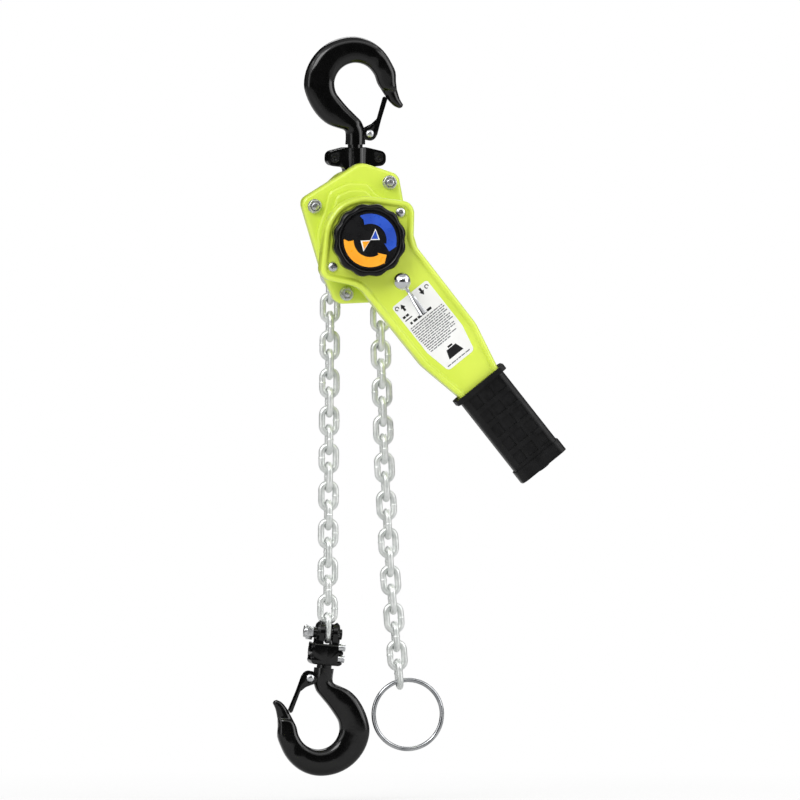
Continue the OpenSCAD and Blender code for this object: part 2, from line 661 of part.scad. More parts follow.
module ratchet_disc() color(STEEL) at_axis() difference() {
    slab(-ratchet_y - ratchet_t, -ratchet_y)
        polygon([for (k = [0:ratchet_teeth - 1]) each [
            ratchet_r * dir(k * ratchet_step - 0.9),
            ratchet_r * dir(k * ratchet_step),
            (ratchet_r - tooth_depth) * dir(k * ratchet_step + 0.4)]]);
    rod(sleeve_r - 2 + run_gap, -ratchet_y - ratchet_t - 1, -ratchet_y + 1);
}
pawl_tooth_a = 6 * ratchet_step - ratchet_step;
module brake_pawl() {
    a = pawl_tooth_a;
    pivot = pawl_pivot_r * dir(pawl_pivot_a);
    y0 = -ratchet_y - ratchet_t + 0.25;
    difference() {
        union() {
            rod(5.6, y0, -ratchet_y - 0.25, pivot[0], pivot[1]);
            slab(y0, -ratchet_y - 0.25) polygon([
                (ratchet_r - 3.2) * dir(a + 0.9), (ratchet_r - 2.2) * dir(a + 5),
                (ratchet_r + 1.2) * dir(a + 14), (ratchet_r + 2.4) * dir(pawl_pivot_a - 4),
                pivot + [1, 5.4], (ratchet_r + 3) * dir(a + 1.6)]);
        }
        rod(pawl_pin_r + run_gap, y0 - 1, 0, pivot[0], pivot[1]);
    }
}
module brake_pawl_top() color(STEEL) at_axis() brake_pawl();
module brake_pawl_bottom() color(STEEL) at_axis() rotate([0, 180, 0]) brake_pawl();
module brake_pawl_pins() color(STEEL) at_axis() for (a = [pawl_pivot_a, pawl_pivot_a + 180])
    translate([pawl_pivot_r * cos(a), 0, pawl_pivot_r * sin(a)]) {
        rod(pawl_pin_r, -ratchet_y - ratchet_t - 1, -plate_gap - 0.3);
        washer(pawl_pin_r + run_gap, pawl_pin_r + 2.2, -ratchet_y + 0.05, -plate_out);
    }
change_r = 27;
change_root = 23;
module change_gear() color(STEEL) in_lever() difference() {
    union() {
        slab(-change_y - change_t, -change_y)
            polygon([for (k = [0:ratchet_teeth - 1]) each
                [for (q = [[change_root, -4.2], [change_r, -3.2], [change_r, 3.2], [change_root, 4.2]])
                    q[0] * dir(k * ratchet_step + q[1])]]);
        rod(sleeve_r, -change_y - 1, -press_y);
        rod(disc_r, -press_y - press_t, -press_y);
        rod(sleeve_r, -lever_front + 0.6, -change_y);
    }
    rod(shaft_r, -lever_front - 1, -press_y + 1);
}
module shaft_nut() color(STEEL) at_axis() difference() {
    hex_rod(15, -shaft_front + 1, -shaft_front + 8);
    rod(shaft_r, -wheel_face, -wheel_y);
}

// ---- Lever, drawn along +X about the axis and then turned
grip_cap_t = 15;
lobe_top = ear_x + ear_r;
head_a = 43;
head_corner = [-head_r, head_r * tan(head_a / 2)];
lobe_corner = (lobe_top * sin(head_a + 4) - head_r) / cos(head_a + 4);
ear_foot = [36, handle_half_w + 1];
half_lever = [[taper_start, handle_half_w], ear_foot, [lobe_corner + 11, lobe_top], [lobe_corner, lobe_top],
    head_corner];
half_rounding = [40, 26, ear_r - 1, 12, head_r - 4];
function flip(p) = [for (i = [len(p) - 1:-1:0]) [p[i][0], -p[i][1]]];
function back(r) = [for (i = [len(r) - 1:-1:0]) r[i]];
lever_corners = concat(half_lever, flip(half_lever),
    [[grip_start, -handle_end_half_w], [grip_end - grip_cap_t, 1.5 - handle_end_half_w],
    [grip_end - grip_cap_t, handle_end_half_w - 1.5], [grip_start, handle_end_half_w]]);
lever_rounding = concat(half_rounding, back(half_rounding), [40, 3, 3, 40]);
function lever_shape(t) = rounded(inset(lever_corners, t), shrink(lever_rounding, t));
function panel_shape(t) = [for (p = lever_shape(t)) [min(p[0], grip_start - 6), p[1]]];
ear_screw_r = 2.5;
ear_recess_r = 7;
grip_wall = 3.2;
module lever_shell(y0, y1, s) in_lever() {
    face = s < 0 ? y0 : y1;
    lip = s < 0 ? y0 + rim_h : y1 - rim_h;
    hole = s < 0 ? sleeve_r + side_gap : cover_collar_r + run_gap;
    difference() {
        slab(y0, y1) polygon(lever_shape(0));
        slab(min(face + s, lip), max(face + s, lip)) {
            polygon(lever_shape(rim_w));
            for (v = [-ear_x, ear_x]) translate([0, v]) circle(ear_recess_r);
        }
        slab(s < 0 ? lip + lever_wall : y0 - 1, s < 0 ? y1 + 1 : lip - lever_wall)
            polygon(lever_shape(lever_wall));
        rod(hole, y0 - 1, y1 + 1);
        for (v = [-ear_x, ear_x]) rod(ear_screw_r + run_gap, y0 - 1, y1 + 1, 0, v);
        if (s < 0) rod(4.6, y0 - 1, y1 + 1, selector_x, 0);
        slab(y0 - 1, y1 + 1) translate([grip_end - grip_cap_t - 3, -handle_half_w]) square([20, 2 * handle_half_w]);
        if (s < 0) slab(y0 - 1, y0 + grip_wall + 1.3)
            translate([grip_start, -handle_half_w]) square([140, 2 * handle_half_w]);
        if (s > 0) slab(y1 - grip_wall - 1.3, y1 + 1)
            translate([grip_start, -handle_half_w]) square([140, 2 * handle_half_w]);
    }
    for (v = [-ear_x, ear_x]) difference() {
        rod(5.5, s < 0 ? lip + 0.5 : y0, s < 0 ? y1 : lip - 0.5, 0, v);
        rod(ear_screw_r + run_gap, y0 - 1, y1 + 1, 0, v);
    }
}
module lever_shell_rear() color(GREEN) lever_shell(-lever_split, -lever_back, 1);
module lever_shell_front() color(GREEN) lever_shell(-lever_front, -lever_split - 0.1, -1);
module lever_screws() color(STEEL) in_lever() for (v = [-ear_x, ear_x]) {
    head = lever_front - rim_h;
    difference() {
        union() {
            rod(ear_screw_r, -head, -lever_back - 0.5, 0, v);
            rod(5.4, -head - 4, -head, 0, v);
        }
        for (a = [0, 90]) translate([0, -head - 4.1, v]) rotate([0, 45 + a, 0])
            translate([-3, 0, -0.6]) cube([6, 2.1, 1.2]);
    }
}
grip_half_t = (lever_front - lever_back) / 2 + 1;
grip_mid = (lever_front + lever_back) / 2;
grip_half_w = 29.3;
grip_flange_half_w = 34.2;
tile_rows = 5;
tile_size = [13.4, 11.8];
tile_step = [19.4, 16];
module grip_outline(w, y, x0, x1, r) translate([x1, 0, 0]) rotate([0, -90, 0])
    linear_extrude(x1 - x0) polygon(rounded([[w, y], [-w, y], [-w, -y], [w, -y]], r));
module lever_grip() color(RUBBER) in_lever() translate([0, -grip_mid, 0]) difference() {
    union() {
        grip_outline(grip_flange_half_w, grip_half_t + 3, grip_start + 0.3, grip_start + 6.3, 8);
        grip_outline(grip_half_w, grip_half_t, grip_start + 5, grip_end - grip_cap_t, 8);
        grip_outline(grip_half_w + 1.6, grip_half_t + 1.5, grip_end - grip_cap_t - 2, grip_end - 2, 9);
        translate([grip_end - 3, 0, 0]) rotate([0, 90, 0]) cylinder(r = 7, h = 3);
    }
    translate([grip_start - 1, -grip_half_t + grip_wall, -handle_end_half_w - 0.3])
        cube([grip_end - grip_start - grip_cap_t - 0.5, 2 * (grip_half_t - grip_wall), 2 * handle_end_half_w + 0.6]);
    for (s = [-1, 1]) for (i = [0:tile_rows - 1]) for (j = [-1:1])
        translate([grip_start + 15.5 + i * tile_step[0], s * grip_half_t, j * tile_step[1]])
            cube([tile_size[0], 2.4, tile_size[1]], center = true);
}
label_x0 = 77.5;
label_x1 = 172.5;
label_half_w = 25.1;
panel_face = lever_front - rim_h;
module lever_label() color("white") in_lever() slab(-panel_face - 0.4, -panel_face - eps)
    polygon(rounded([[label_x0, -label_half_w], [142, -label_half_w], [label_x1, -18.5],
        [label_x1, 18.5], [142, label_half_w], [label_x0, label_half_w]], [3, 12, 5, 5, 12, 3]));

// ---- Changeover pawl and its selector
pawl_tip_r = 25.3;
pawl_gap_a = 37.5;
module changeover_pawl() color(STEEL) in_lever() {
    y0 = -change_y - change_t + 0.5;
    y1 = -change_y - 0.5;
    difference() {
        union() {
            for (s = [-1, 1]) translate([selector_x, 0, 0]) rotate([0, s * 15, 0])
                translate([-selector_x, 0, 0]) slab(y0, y1) scale([1, s])
                    polygon([pawl_tip_r * dir(pawl_gap_a - 3.1), (change_r + 1) * dir(pawl_gap_a - 3.4),
                        [selector_x - 9.5, 1], [selector_x + 2, 9],
                        (change_r + 4) * dir(pawl_gap_a + 5), (change_r + 1) * dir(pawl_gap_a + 1.9),
                        pawl_tip_r * dir(pawl_gap_a + 1.9)]);
            rod(9.4, y0, y1, selector_x, 0);
        }
        rod(4.5, y0 - 1, y1 + 1, selector_x, 0);
    }
}
module pawl_plunger() color(STEEL) in_lever() {
    y = -change_y - change_t / 2;
    translate([selector_x + 9.7, y, 0]) rotate([0, 90, 0]) cylinder(r = 2.6, h = 10);
    translate([selector_x + 14, y, 0]) rotate([0, 90, 0]) difference() {
        cylinder(r = 3.9, h = 10);
        translate([0, 0, -1]) cylinder(r = 2.6 + run_gap, h = 8);
    }
}
ball_y = wheel_face - 3;
stem_end = 101;
selector_rest = 6;
module selector_lever() color("#d7d9db") in_lever()
    translate([selector_x, 0, 0]) rotate([0, selector_rest, 0]) translate([-selector_x, 0, 0]) {
    difference() {
        union() {
            rod(4.4, -ball_y, -change_y + part_gap, selector_x, 0);
            translate([selector_x, -ball_y, 0]) sphere(d = ball_d);
            translate([0, -ball_y + 3, 0]) slab(-2.5, 2.5) polygon(rounded([[selector_x + 6, -3.2],
                [selector_x + 12, -2], [stem_end, -4.2], [stem_end, 4.2], [selector_x + 12, 2],
                [selector_x + 6, 3.2]], [1, 2, 2, 2, 2, 1]));
        }
        translate([0, -ball_y + 3, 0]) slab(-3, -1)
            polygon([[selector_x + 16, -0.9], [stem_end - 3, -2.4], [stem_end - 3, 2.4], [selector_x + 16, 0.9]]);
    }
}

// ---- Hand wheel
scallop_r = 22;
wheel_dish = 2.5;
label_r = 32;
module hand_wheel() color(BLACK) at_axis() difference() {
    union() {
        rod(wheel_r, -wheel_face, -wheel_y - 4);
        rod(wheel_r - 4, -wheel_y - 5, -wheel_y);
    }
    for (k = [0:wheel_scallops - 1]) rotate([0, k * 360 / wheel_scallops, 0])
        rod(scallop_r, -wheel_face - 1, -wheel_y + 1, wheel_r + scallop_r - 2.6);
    rod(label_r + 1.5, -wheel_face - 1, -wheel_face + wheel_dish);
    rod(11, -wheel_face, -shaft_front + 9);
    rod(shaft_r + 0.1, -wheel_face, -wheel_y + 1);
}
module hand_wheel_label() color("#101113") at_axis()
    rod(label_r, -wheel_face + wheel_dish - 1, -wheel_face + wheel_dish - eps);

// ---- Hanging chain: links from cut a to cut b of a run
function hinge(i, start, cuts, leans, first) = i == 0 ? start
    : hinge(i - 1, start, cuts, leans, first) + down(run_lean(i - 1, cuts, leans))
        * ((i - 1 + first) % 2 == 0 ? 2 * crown : 2 * crown_in);
module run(a, b, start, cuts, leans, first) color(STEEL) at_axis() for (i = [a:b - 1]) {
    lean = run_lean(i, cuts, leans);
    flat = (i + first) % 2 == 0;
    top = hinge(i, start, cuts, leans, first);
    p = top + down(lean) * (flat ? crown : crown_in);
    translate([p[0], 0, p[1]]) rotate([0, -lean, 0])
        if (flat) flat_link();
        else link();
}
module load_run(j) run(load_cuts[j], load_cuts[j + 1], load_pivot, load_cuts, [-load_lean, -load_lean, -load_lean], 0);
module tail_run(j) run(tail_cuts[j], tail_cuts[j + 1], tail_pivot, tail_cuts, tail_leans, 1);
module load_chain_top() load_run(0);
module load_chain_middle() load_run(1);
module load_chain_bottom() load_run(2);
module tail_chain_top() tail_run(0);
module tail_chain_middle() tail_run(1);
module tail_chain_low() tail_run(2);
module tail_chain_bottom() tail_run(3);

// The eye of the tail's last link holds the ring
last_tail = hinge(tail_links, tail_pivot, tail_cuts, tail_leans, 1);
ring_seat = last_tail - down(tail_leans[3]) * (crown - link_inner_half + part_gap + ring_wire / 2);
ring_centre = ring_seat + ring_r * down(ring_lean);
module end_ring() color("#d7d9db") at_axis() translate([ring_centre[0], 0, ring_centre[1]])
    rotate([90, 0, 0]) rotate_extrude() translate([ring_r, 0]) circle(ring_wire / 2, $fn = 48);

// ---- Bottom yoke and hook, drawn below the pin and leaned
last_load = hinge(load_links, load_pivot, load_cuts, [-load_lean], 0);
pin_at = last_load - down(-load_lean) * (crown - link_inner_half + side_gap + chain_pin_r);
module at_pin() at_axis() translate([pin_at[0], 0, pin_at[1]]) rotate([0, bottom_lean, 0]) children();
module at_bottom_hook() at_pin() translate([0, 0, -bottom_drop]) rotate([0, 180, 0]) children();
module rod_x(r, x0, x1, y = 0, z = 0) translate([x0, y, z]) rotate([0, 90, 0]) cylinder(r = r, h = x1 - x0);
block_half_w = 17.6;
block_half_d = 15;
ear_half = 12.8;
chain_lug_r = 13.4;
nut_boss = 4;
slot_half = wire_r + 1.5;
slot_depth = crown + wire_r - link_inner_half + chain_pin_r + 1.2;
block_low = bottom_drop - shank_end - 3.6;
next_link = crown + chain_pitch - straight_half - wire_r - side_gap - chain_pin_r;
yoke_bolts = [14.4, 27];
yoke_bolt_y = 12.1;
bolt_r = 2;
module bottom_yoke(s) {
    x0 = s < 0 ? -block_half_w : split_gap / 2;
    x1 = s < 0 ? -split_gap / 2 : block_half_w;
    difference() {
        union() {
            intersection() {
                translate([x1, 0, 0]) rotate([0, -90, 0]) linear_extrude(x1 - x0)
                    polygon(rounded([[-12, block_half_d], [-block_low, block_half_d], [-block_low, -block_half_d],
                        [-12, -block_half_d]], [2, 4, 4, 2]));
                slab(-block_half_d - 1, block_half_d + 1)
                    polygon(rounded([[block_half_w, -12], [block_half_w, -block_low], [-block_half_w, -block_low],
                        [-block_half_w, -12]], [3, 5, 5, 3]));
            }
            rod_x(chain_lug_r, s < 0 ? 3 - ear_half : split_gap / 2, s < 0 ? -split_gap / 2 : ear_half - 3);
            translate([s * (ear_half - 3), 0, 0]) rotate([0, s * 90, 0])
                cylinder(r1 = chain_lug_r, r2 = chain_lug_r - 3, h = 3);
            translate([s < 0 ? -ear_half : split_gap / 2, -chain_lug_r + 1, -13])
                cube([ear_half - split_gap / 2, 2 * chain_lug_r - 2, 10]);
            if (s < 0) rod_x(chain_pin_r + 1.8, -ear_half - nut_boss, -ear_half + 1);
        }
        translate([-slot_half, -30, -slot_depth]) cube([2 * slot_half, 60, 60]);
        rod_x(chain_pin_r + run_gap, -30, 30);
        translate([0, 0, -block_low - 1]) cylinder(r = neck_r + run_gap, h = bottom_neck[1] - shank_end - 2);
        translate([0, 0, bottom_neck[0] - bottom_drop - side_gap])
            cylinder(r = neck_collar_r + run_gap, h = bottom_neck[1] - bottom_neck[0] + 2 * side_gap);
        slab(-8.2, 8.2) translate([0, next_link]) circle(link_half_w + 1.8);
        for (z = yoke_bolts) for (y = [-yoke_bolt_y, yoke_bolt_y]) {
            rod_x(bolt_r + run_gap, -30, 30, y, -z);
            if (s > 0) translate([block_half_w - 5.5, y > 0 ? y - 4.5 : y - 8, -z - 4.5]) cube([8, 12.5, 9]);
            if (s < 0) rod_x(3.7, -30, -block_half_w + 3, y, -z);
        }
    }
}
module bottom_yoke_left() color(BLACK) at_pin() bottom_yoke(-1);
module bottom_yoke_right() color(BLACK) at_pin() bottom_yoke(1);
module bottom_yoke_screws() color(STEEL) at_pin() for (z = yoke_bolts) for (y = [-yoke_bolt_y, yoke_bolt_y]) {
    difference() {
        union() {
            rod_x(bolt_r, -block_half_w + 0.5, block_half_w - 5.5, y, -z);
            rod_x(4, block_half_w - 5.5, block_half_w + 2, y, -z);
        }
        translate([block_half_w - 0.5, y, -z]) rotate([0, 90, 0]) cylinder(r = 2, h = 4, $fn = 6);
    }
    translate([-block_half_w + 0.3, y, -z]) rotate([0, 90, 0]) difference() {
        cylinder(r = 3.5, h = 2.6, $fn = 6);
        translate([0, 0, -1]) cylinder(r = bolt_r + run_gap, h = 5);
    }
}
module chain_pin() color(STEEL) at_pin() {
    nut_face = -ear_half - nut_boss;
    rod_x(chain_pin_r, nut_face - 10, ear_half + 0.1);
    rod_x(chain_pin_r + 1.8, ear_half + 0.1, ear_half + 3.4);
    difference() {
        union() {
            translate([nut_face - 7, 0, 0]) rotate([0, 90, 0]) cylinder(r = corners(15), h = 6.9, $fn = 6);
            rod_x(6.6, nut_face - 9.6, nut_face - 6.9);
        }
        rod_x(chain_pin_r, nut_face - 12, nut_face + 1);
    }
}
module bottom_hook() color(BLACK) at_bottom_hook() hook(bottom_neck[1], bottom_neck[0]);
module bottom_latch_rivet() color(STEEL) at_bottom_hook() latch_rivet();
module bottom_latch_spring() color(STEEL) at_bottom_hook() latch_spring();
module bottom_hook_latch() color(BLACK) at_bottom_hook() latch();

top_hook();
top_latch_rivet();
top_latch_spring();
top_hook_latch();
top_yoke_front();
top_yoke_rear();
top_yoke_screws();
top_pin();
side_plate_front();
side_plate_rear();
stay_bolts();
stay_nuts_front();
stay_nuts_rear();
brake_cover();
gear_cover();
chain_guide_left();
chain_guide_right();
chain_stripper();
sheave_bearings();
load_sheave();
load_gear();
wrapped_chain();
drive_shaft();
intermediate_gear_top();
intermediate_gear_bottom();
brake_hub();
friction_discs();
ratchet_disc();
brake_pawl_top();
brake_pawl_bottom();
brake_pawl_pins();
change_gear();
shaft_nut();
lever_shell_rear();
lever_shell_front();
lever_screws();
lever_grip();
lever_label();
changeover_pawl();
pawl_plunger();
selector_lever();
hand_wheel();
hand_wheel_label();
load_chain_top();
load_chain_middle();
load_chain_bottom();
tail_chain_top();
tail_chain_middle();
tail_chain_low();
tail_chain_bottom();
end_ring();
chain_pin();
bottom_yoke_left();
bottom_yoke_right();
bottom_yoke_screws();
bottom_hook();
bottom_latch_rivet();
bottom_latch_spring();
bottom_hook_latch();
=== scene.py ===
# %% [markdown]
# # A lever chain hoist, dressed piece by piece
#
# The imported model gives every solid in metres, in one shared frame: the origin is
# the seat of the upper hook, +Z runs up the hanging line and -Y faces the viewer.
# This notebook loads that frame, makes the camera, light and finishes, and then
# models each part that a plain solid can't show well enough.

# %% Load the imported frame
import json
import math

import bmesh
import bpy
from mathutils import Matrix, Vector


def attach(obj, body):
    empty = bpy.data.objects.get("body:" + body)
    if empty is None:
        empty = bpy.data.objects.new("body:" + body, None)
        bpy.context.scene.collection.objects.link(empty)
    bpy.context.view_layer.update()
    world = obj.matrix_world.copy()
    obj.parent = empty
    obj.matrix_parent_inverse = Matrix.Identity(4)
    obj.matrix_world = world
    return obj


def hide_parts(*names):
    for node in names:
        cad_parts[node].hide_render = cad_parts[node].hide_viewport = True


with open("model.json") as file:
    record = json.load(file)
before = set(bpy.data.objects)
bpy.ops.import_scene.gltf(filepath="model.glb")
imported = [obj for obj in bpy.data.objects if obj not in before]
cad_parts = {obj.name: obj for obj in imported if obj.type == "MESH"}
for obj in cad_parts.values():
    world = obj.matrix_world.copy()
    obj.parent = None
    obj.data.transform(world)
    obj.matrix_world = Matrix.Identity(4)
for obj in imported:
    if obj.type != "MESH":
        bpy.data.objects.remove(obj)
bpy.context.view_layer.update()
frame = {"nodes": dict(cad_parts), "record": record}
nodes = frame["nodes"]
scene = bpy.context.scene

# %% [markdown]
# ## Camera
#
# A product picture of a long tool is taken with a long lens from far away, which is
# almost a parallel view. So the camera is orthographic: it stands a little to the
# left of the front and a little above it, and its scale is the height of the picture.

# %% Camera
AZIMUTH, ELEVATION = math.radians(9), math.radians(2)
PICTURE_HEIGHT = 0.892
AIM_RIGHT, AIM_BELOW = 0.04995, 0.3520
CAMERA_DISTANCE = 3
sight = Vector((math.sin(AZIMUTH) * math.cos(ELEVATION), math.cos(AZIMUTH) * math.cos(ELEVATION),
                -math.sin(ELEVATION)))
right = Vector((math.cos(AZIMUTH), -math.sin(AZIMUTH), 0))
above = right.cross(sight)
aim = right * AIM_RIGHT - above * AIM_BELOW
camera = bpy.data.objects.new("studio_camera", bpy.data.cameras.new("studio_camera"))
camera.data.type = "ORTHO"
camera.data.ortho_scale = PICTURE_HEIGHT
camera.data.clip_end = 20
camera.location = aim - sight * CAMERA_DISTANCE
camera.rotation_mode = "QUATERNION"
camera.rotation_quaternion = sight.to_track_quat("-Z", "Y")
scene.collection.objects.link(camera)
scene.camera = camera
print("camera at", [round(c, 3) for c in camera.location])

# %% [markdown]
# ## Colour and node helpers
#
# Colours are written as sRGB hex, as a paint chart gives them, and shaders want linear
# light, so one function converts. A second one adds a node, sets it and links it: a
# node tree then reads from top to bottom like a recipe.

# %% Helpers for materials
def linear(hex_code):
    """The linear RGBA of an sRGB hex colour such as #C6DE45."""
    parts = [int(hex_code[i:i + 2], 16) / 255 for i in (1, 3, 5)]
    return tuple(c / 12.92 if c <= 0.04045 else ((c + 0.055) / 1.055) ** 2.4 for c in parts) + (1,)


def add(tree, kind, settings=(), links=()):
    """Adds one node. Settings go to its sockets or its properties, and links to its inputs."""
    made = tree.nodes.new(kind)
    for key, value in dict(settings).items():
        if isinstance(key, int) or key in made.inputs:
            made.inputs[key].default_value = value
        else:
            setattr(made, key, value)
    for key, source in dict(links).items():
        tree.links.new(source, made.inputs[key])
    return made


# %% [markdown]
# ## One recipe for a surface
#
# A real finish is never one flat colour. Its tone drifts over patches some centimetres
# wide, its gloss drifts over smaller ones, and its skin has a grain. Each of the three
# is a noise whose size is given in millimetres, so it stays right on every piece.

# %% The surface recipe
def surface(name, light, dark, patch, gloss, grain, depth, fixed=()):
    """A material: two tones in patches (mm), a roughness range, and a grain of some size and depth (mm)."""
    material = bpy.data.materials.new(name)
    material.use_nodes = True
    tree = material.node_tree
    shader = tree.nodes["Principled BSDF"]
    for socket, value in dict(fixed).items():
        shader.inputs[socket].default_value = value
    where = add(tree, "ShaderNodeTexCoord").outputs["Object"]
    tone = add(tree, "ShaderNodeTexNoise", {"Scale": 1000 / patch, "Detail": 3}, {"Vector": where})
    spread = add(tree, "ShaderNodeMapRange", {"From Min": 0.35, "From Max": 0.65},
                 {"Value": tone.outputs["Fac"]})
    colour = add(tree, "ShaderNodeMix", {"data_type": "RGBA", 6: linear(dark), 7: linear(light)},
                 {0: spread.outputs["Result"]})
    tree.links.new(colour.outputs[2], shader.inputs["Base Color"])
    sheen = add(tree, "ShaderNodeTexNoise", {"Scale": 2600 / patch, "Detail": 2}, {"Vector": where})
    rough = add(tree, "ShaderNodeMapRange",
                {"From Min": 0.35, "From Max": 0.65, "To Min": gloss[0], "To Max": gloss[1]},
                {"Value": sheen.outputs["Fac"]})
    tree.links.new(rough.outputs["Result"], shader.inputs["Roughness"])
    skin = add(tree, "ShaderNodeTexNoise", {"Scale": 1000 / grain, "Detail": 2}, {"Vector": where})
    bump = add(tree, "ShaderNodeBump", {"Strength": 1, "Distance": depth / 1000},
               {"Height": skin.outputs["Fac"]})
    tree.links.new(bump.outputs["Normal"], shader.inputs["Normal"])
    return material


# %% [markdown]
# ## Paints
#
# The housing and the lever are steel pressings with a lime powder coat, baked to a hard
# gloss: a clear skin that mirrors the lamps over a strong, even colour, with the faint
# waves of orange peel. Hooks and yokes are forgings under black enamel, whose skin
# follows the coarser waves that the hammer left.

# %% Paint materials
lime_powder_coat = surface("lime_powder_coat", "#DDF053", "#D2E748", 60, (0.26, 0.36), 5, 0.012,
                           {"Coat Weight": 0.45, "Coat Roughness": 0.12, "IOR": 1.5})
black_enamel = surface("black_enamel_on_forging", "#080808", "#040404", 25, (0.1, 0.17), 6, 0.06,
                       {"Coat Weight": 0.2, "Coat Roughness": 0.05, "Specular IOR Level": 0.38})
black_oxide = surface("black_oxide_screw", "#101012", "#080809", 4, (0.22, 0.34), 3, 0.01, {"IOR": 1.5})
print("paints:", lime_powder_coat.name, black_enamel.name, black_oxide.name)

# %% [markdown]
# ## Bare and plated metals
#
# Nuts and bolts are zinc plated: bright, slightly blue and a little uneven. The chain is
# galvanised after welding, so it is paler and duller. The selector is chromed, almost a
# mirror; the end ring is the same chrome in a darker colour, painted shade for the dark
# reflections on its thin bar. Gears and discs inside are turned and ground steel with oil.

# %% Metal materials
METAL = {"Metallic": 1}
zinc_plate = surface("zinc_plated_steel", "#ECEDEE", "#CFD1D4", 6, (0.24, 0.36), 3, 0.012, METAL)
galvanised = surface("galvanised_chain_steel", "#F4F6F4", "#DCE0DD", 7, (0.33, 0.44), 4, 0.03,
                     {"Metallic": 0.72})
chrome_plate = surface("chrome_plate", "#E4E6E8", "#D8DADD", 12, (0.1, 0.17), 9, 0.01, METAL)
# The end ring is the chrome again in darker colours, with the same gloss: painted shade standing in for the
# dark reflections on its thin bar.
ring_plate = surface("ring_chrome_painted_dark", "#C6C8CA", "#A4A6A9", 12, (0.1, 0.17), 9, 0.01, METAL)
machined_steel = surface("machined_steel_oiled", "#B9BCC0", "#8F9297", 9, (0.28, 0.42), 2, 0.01, METAL)
print("metals:", zinc_plate.name, galvanised.name, chrome_plate.name, ring_plate.name, machined_steel.name)

# %% [markdown]
# ## Rubber, plastic, lining and stickers
#
# The grip is matt moulded rubber, the hand wheel a moulded black plastic with a soft
# gloss, the brake lining a pressed brown compound. Stickers are printed vinyl: a satin
# skin whose inks are as smooth as the film below them.

# %% Plastic and print materials
moulded_rubber = surface("moulded_grip_rubber", "#141415", "#0D0D0E", 18, (0.34, 0.46), 2.4, 0.04,
                         {"IOR": 1.4, "Specular IOR Level": 0.35})
moulded_plastic = surface("moulded_black_nylon", "#0D0D0E", "#070708", 20, (0.16, 0.26), 3, 0.02,
                          {"IOR": 1.45, "Specular IOR Level": 0.35})
brake_lining = surface("pressed_brake_lining", "#5C4634", "#3E2F24", 3, (0.7, 0.85), 1.5, 0.08)
VINYL = {"IOR": 1.5, "Coat Weight": 0.25, "Coat Roughness": 0.2}
white_vinyl = surface("white_vinyl_label", "#F3F3F1", "#ECECEA", 40, (0.3, 0.38), 8, 0.006, VINYL)
black_vinyl = surface("black_vinyl_label", "#0B0B0D", "#070708", 30, (0.22, 0.32), 7, 0.012, VINYL)
blue_ink = surface("blue_ink_on_vinyl", "#2553C4", "#1D47B2", 20, (0.26, 0.34), 7, 0.01, VINYL)
orange_ink = surface("orange_ink_on_vinyl", "#FFAE22", "#F8A015", 20, (0.26, 0.34), 7, 0.01, VINYL)
white_ink = surface("white_ink_on_vinyl", "#F2F2F0", "#E8E8E6", 20, (0.26, 0.34), 7, 0.01, VINYL)
black_ink = surface("black_ink_on_vinyl", "#18181A", "#101012", 20, (0.3, 0.38), 7, 0.006, VINYL)
grey_ink = surface("grey_ink_on_vinyl", "#6E7073", "#626467", 20, (0.3, 0.38), 7, 0.006, VINYL)
print("plastics and prints:", len(bpy.data.materials), "materials so far")

# %% [markdown]
# ## Every solid gets its finish
#
# The record names a slot for each node. One table turns the slots into materials, and
# the solid's own material slots are pointed at them: its mesh is left as it is.

# %% Dress the solids
slot_finish = {
    "black_enamel": black_enamel, "lime_paint": lime_powder_coat, "black_screws": black_oxide,
    "zinc": zinc_plate, "chain_steel": galvanised, "machined_steel": machined_steel,
    "friction_lining": brake_lining, "chrome": chrome_plate, "grip_rubber": moulded_rubber,
    "black_plastic": moulded_plastic, "label_white": white_vinyl, "label_black": black_vinyl,
}
slot_of = {row["node"]: row["material_slot"] for row in frame["record"]["subparts"]}
for name, solid in nodes.items():
    solid.data.materials.clear()
    solid.data.materials.append(slot_finish[slot_of[name]])
body_of = {name: body for body, names in frame["record"]["behaviour"]["bodies"].items() for name in names}
print("dressed", len(nodes), "solids")

# %% [markdown]
# ## Places
#
# Pieces are modelled in millimetres in their own simple frame and then placed by one
# matrix: the sheave axis, the lever (drawn along +X, then turned), the chain pin and the
# lower hook, which is the upper one turned over.

# %% Frames of the pieces
AXIS_Z = -170.5
LEVER_ANGLE = 51.6
PIN_SPOT, PIN_LEAN = (-31.526, 0, -612.334), 5.4
LOWER_SEAT_DROP = 106
SELECTOR_X = 58.4
at_seat = Matrix.Identity(4)
at_axis = Matrix.Translation((0, 0, AXIS_Z))
in_lever = at_axis @ Matrix.Rotation(math.radians(LEVER_ANGLE), 4, "Y")
at_pin = Matrix.Translation(PIN_SPOT) @ Matrix.Rotation(math.radians(PIN_LEAN), 4, "Y")
at_lower_hook = at_pin @ Matrix.Translation((0, 0, -LOWER_SEAT_DROP)) @ Matrix.Rotation(math.pi, 4, "Y")
to_metres, to_millimetres = Matrix.Scale(0.001, 4), Matrix.Scale(1000, 4)
print("lever frame turned by", LEVER_ANGLE, "degrees")

# %% [markdown]
# ## From bmesh to piece
#
# Each piece ends the same way: doubles merged, normals outward, faces smooth with sharp
# edges where the angle is large, one material, and a body to ride on. One function does
# it, and prints the face count.

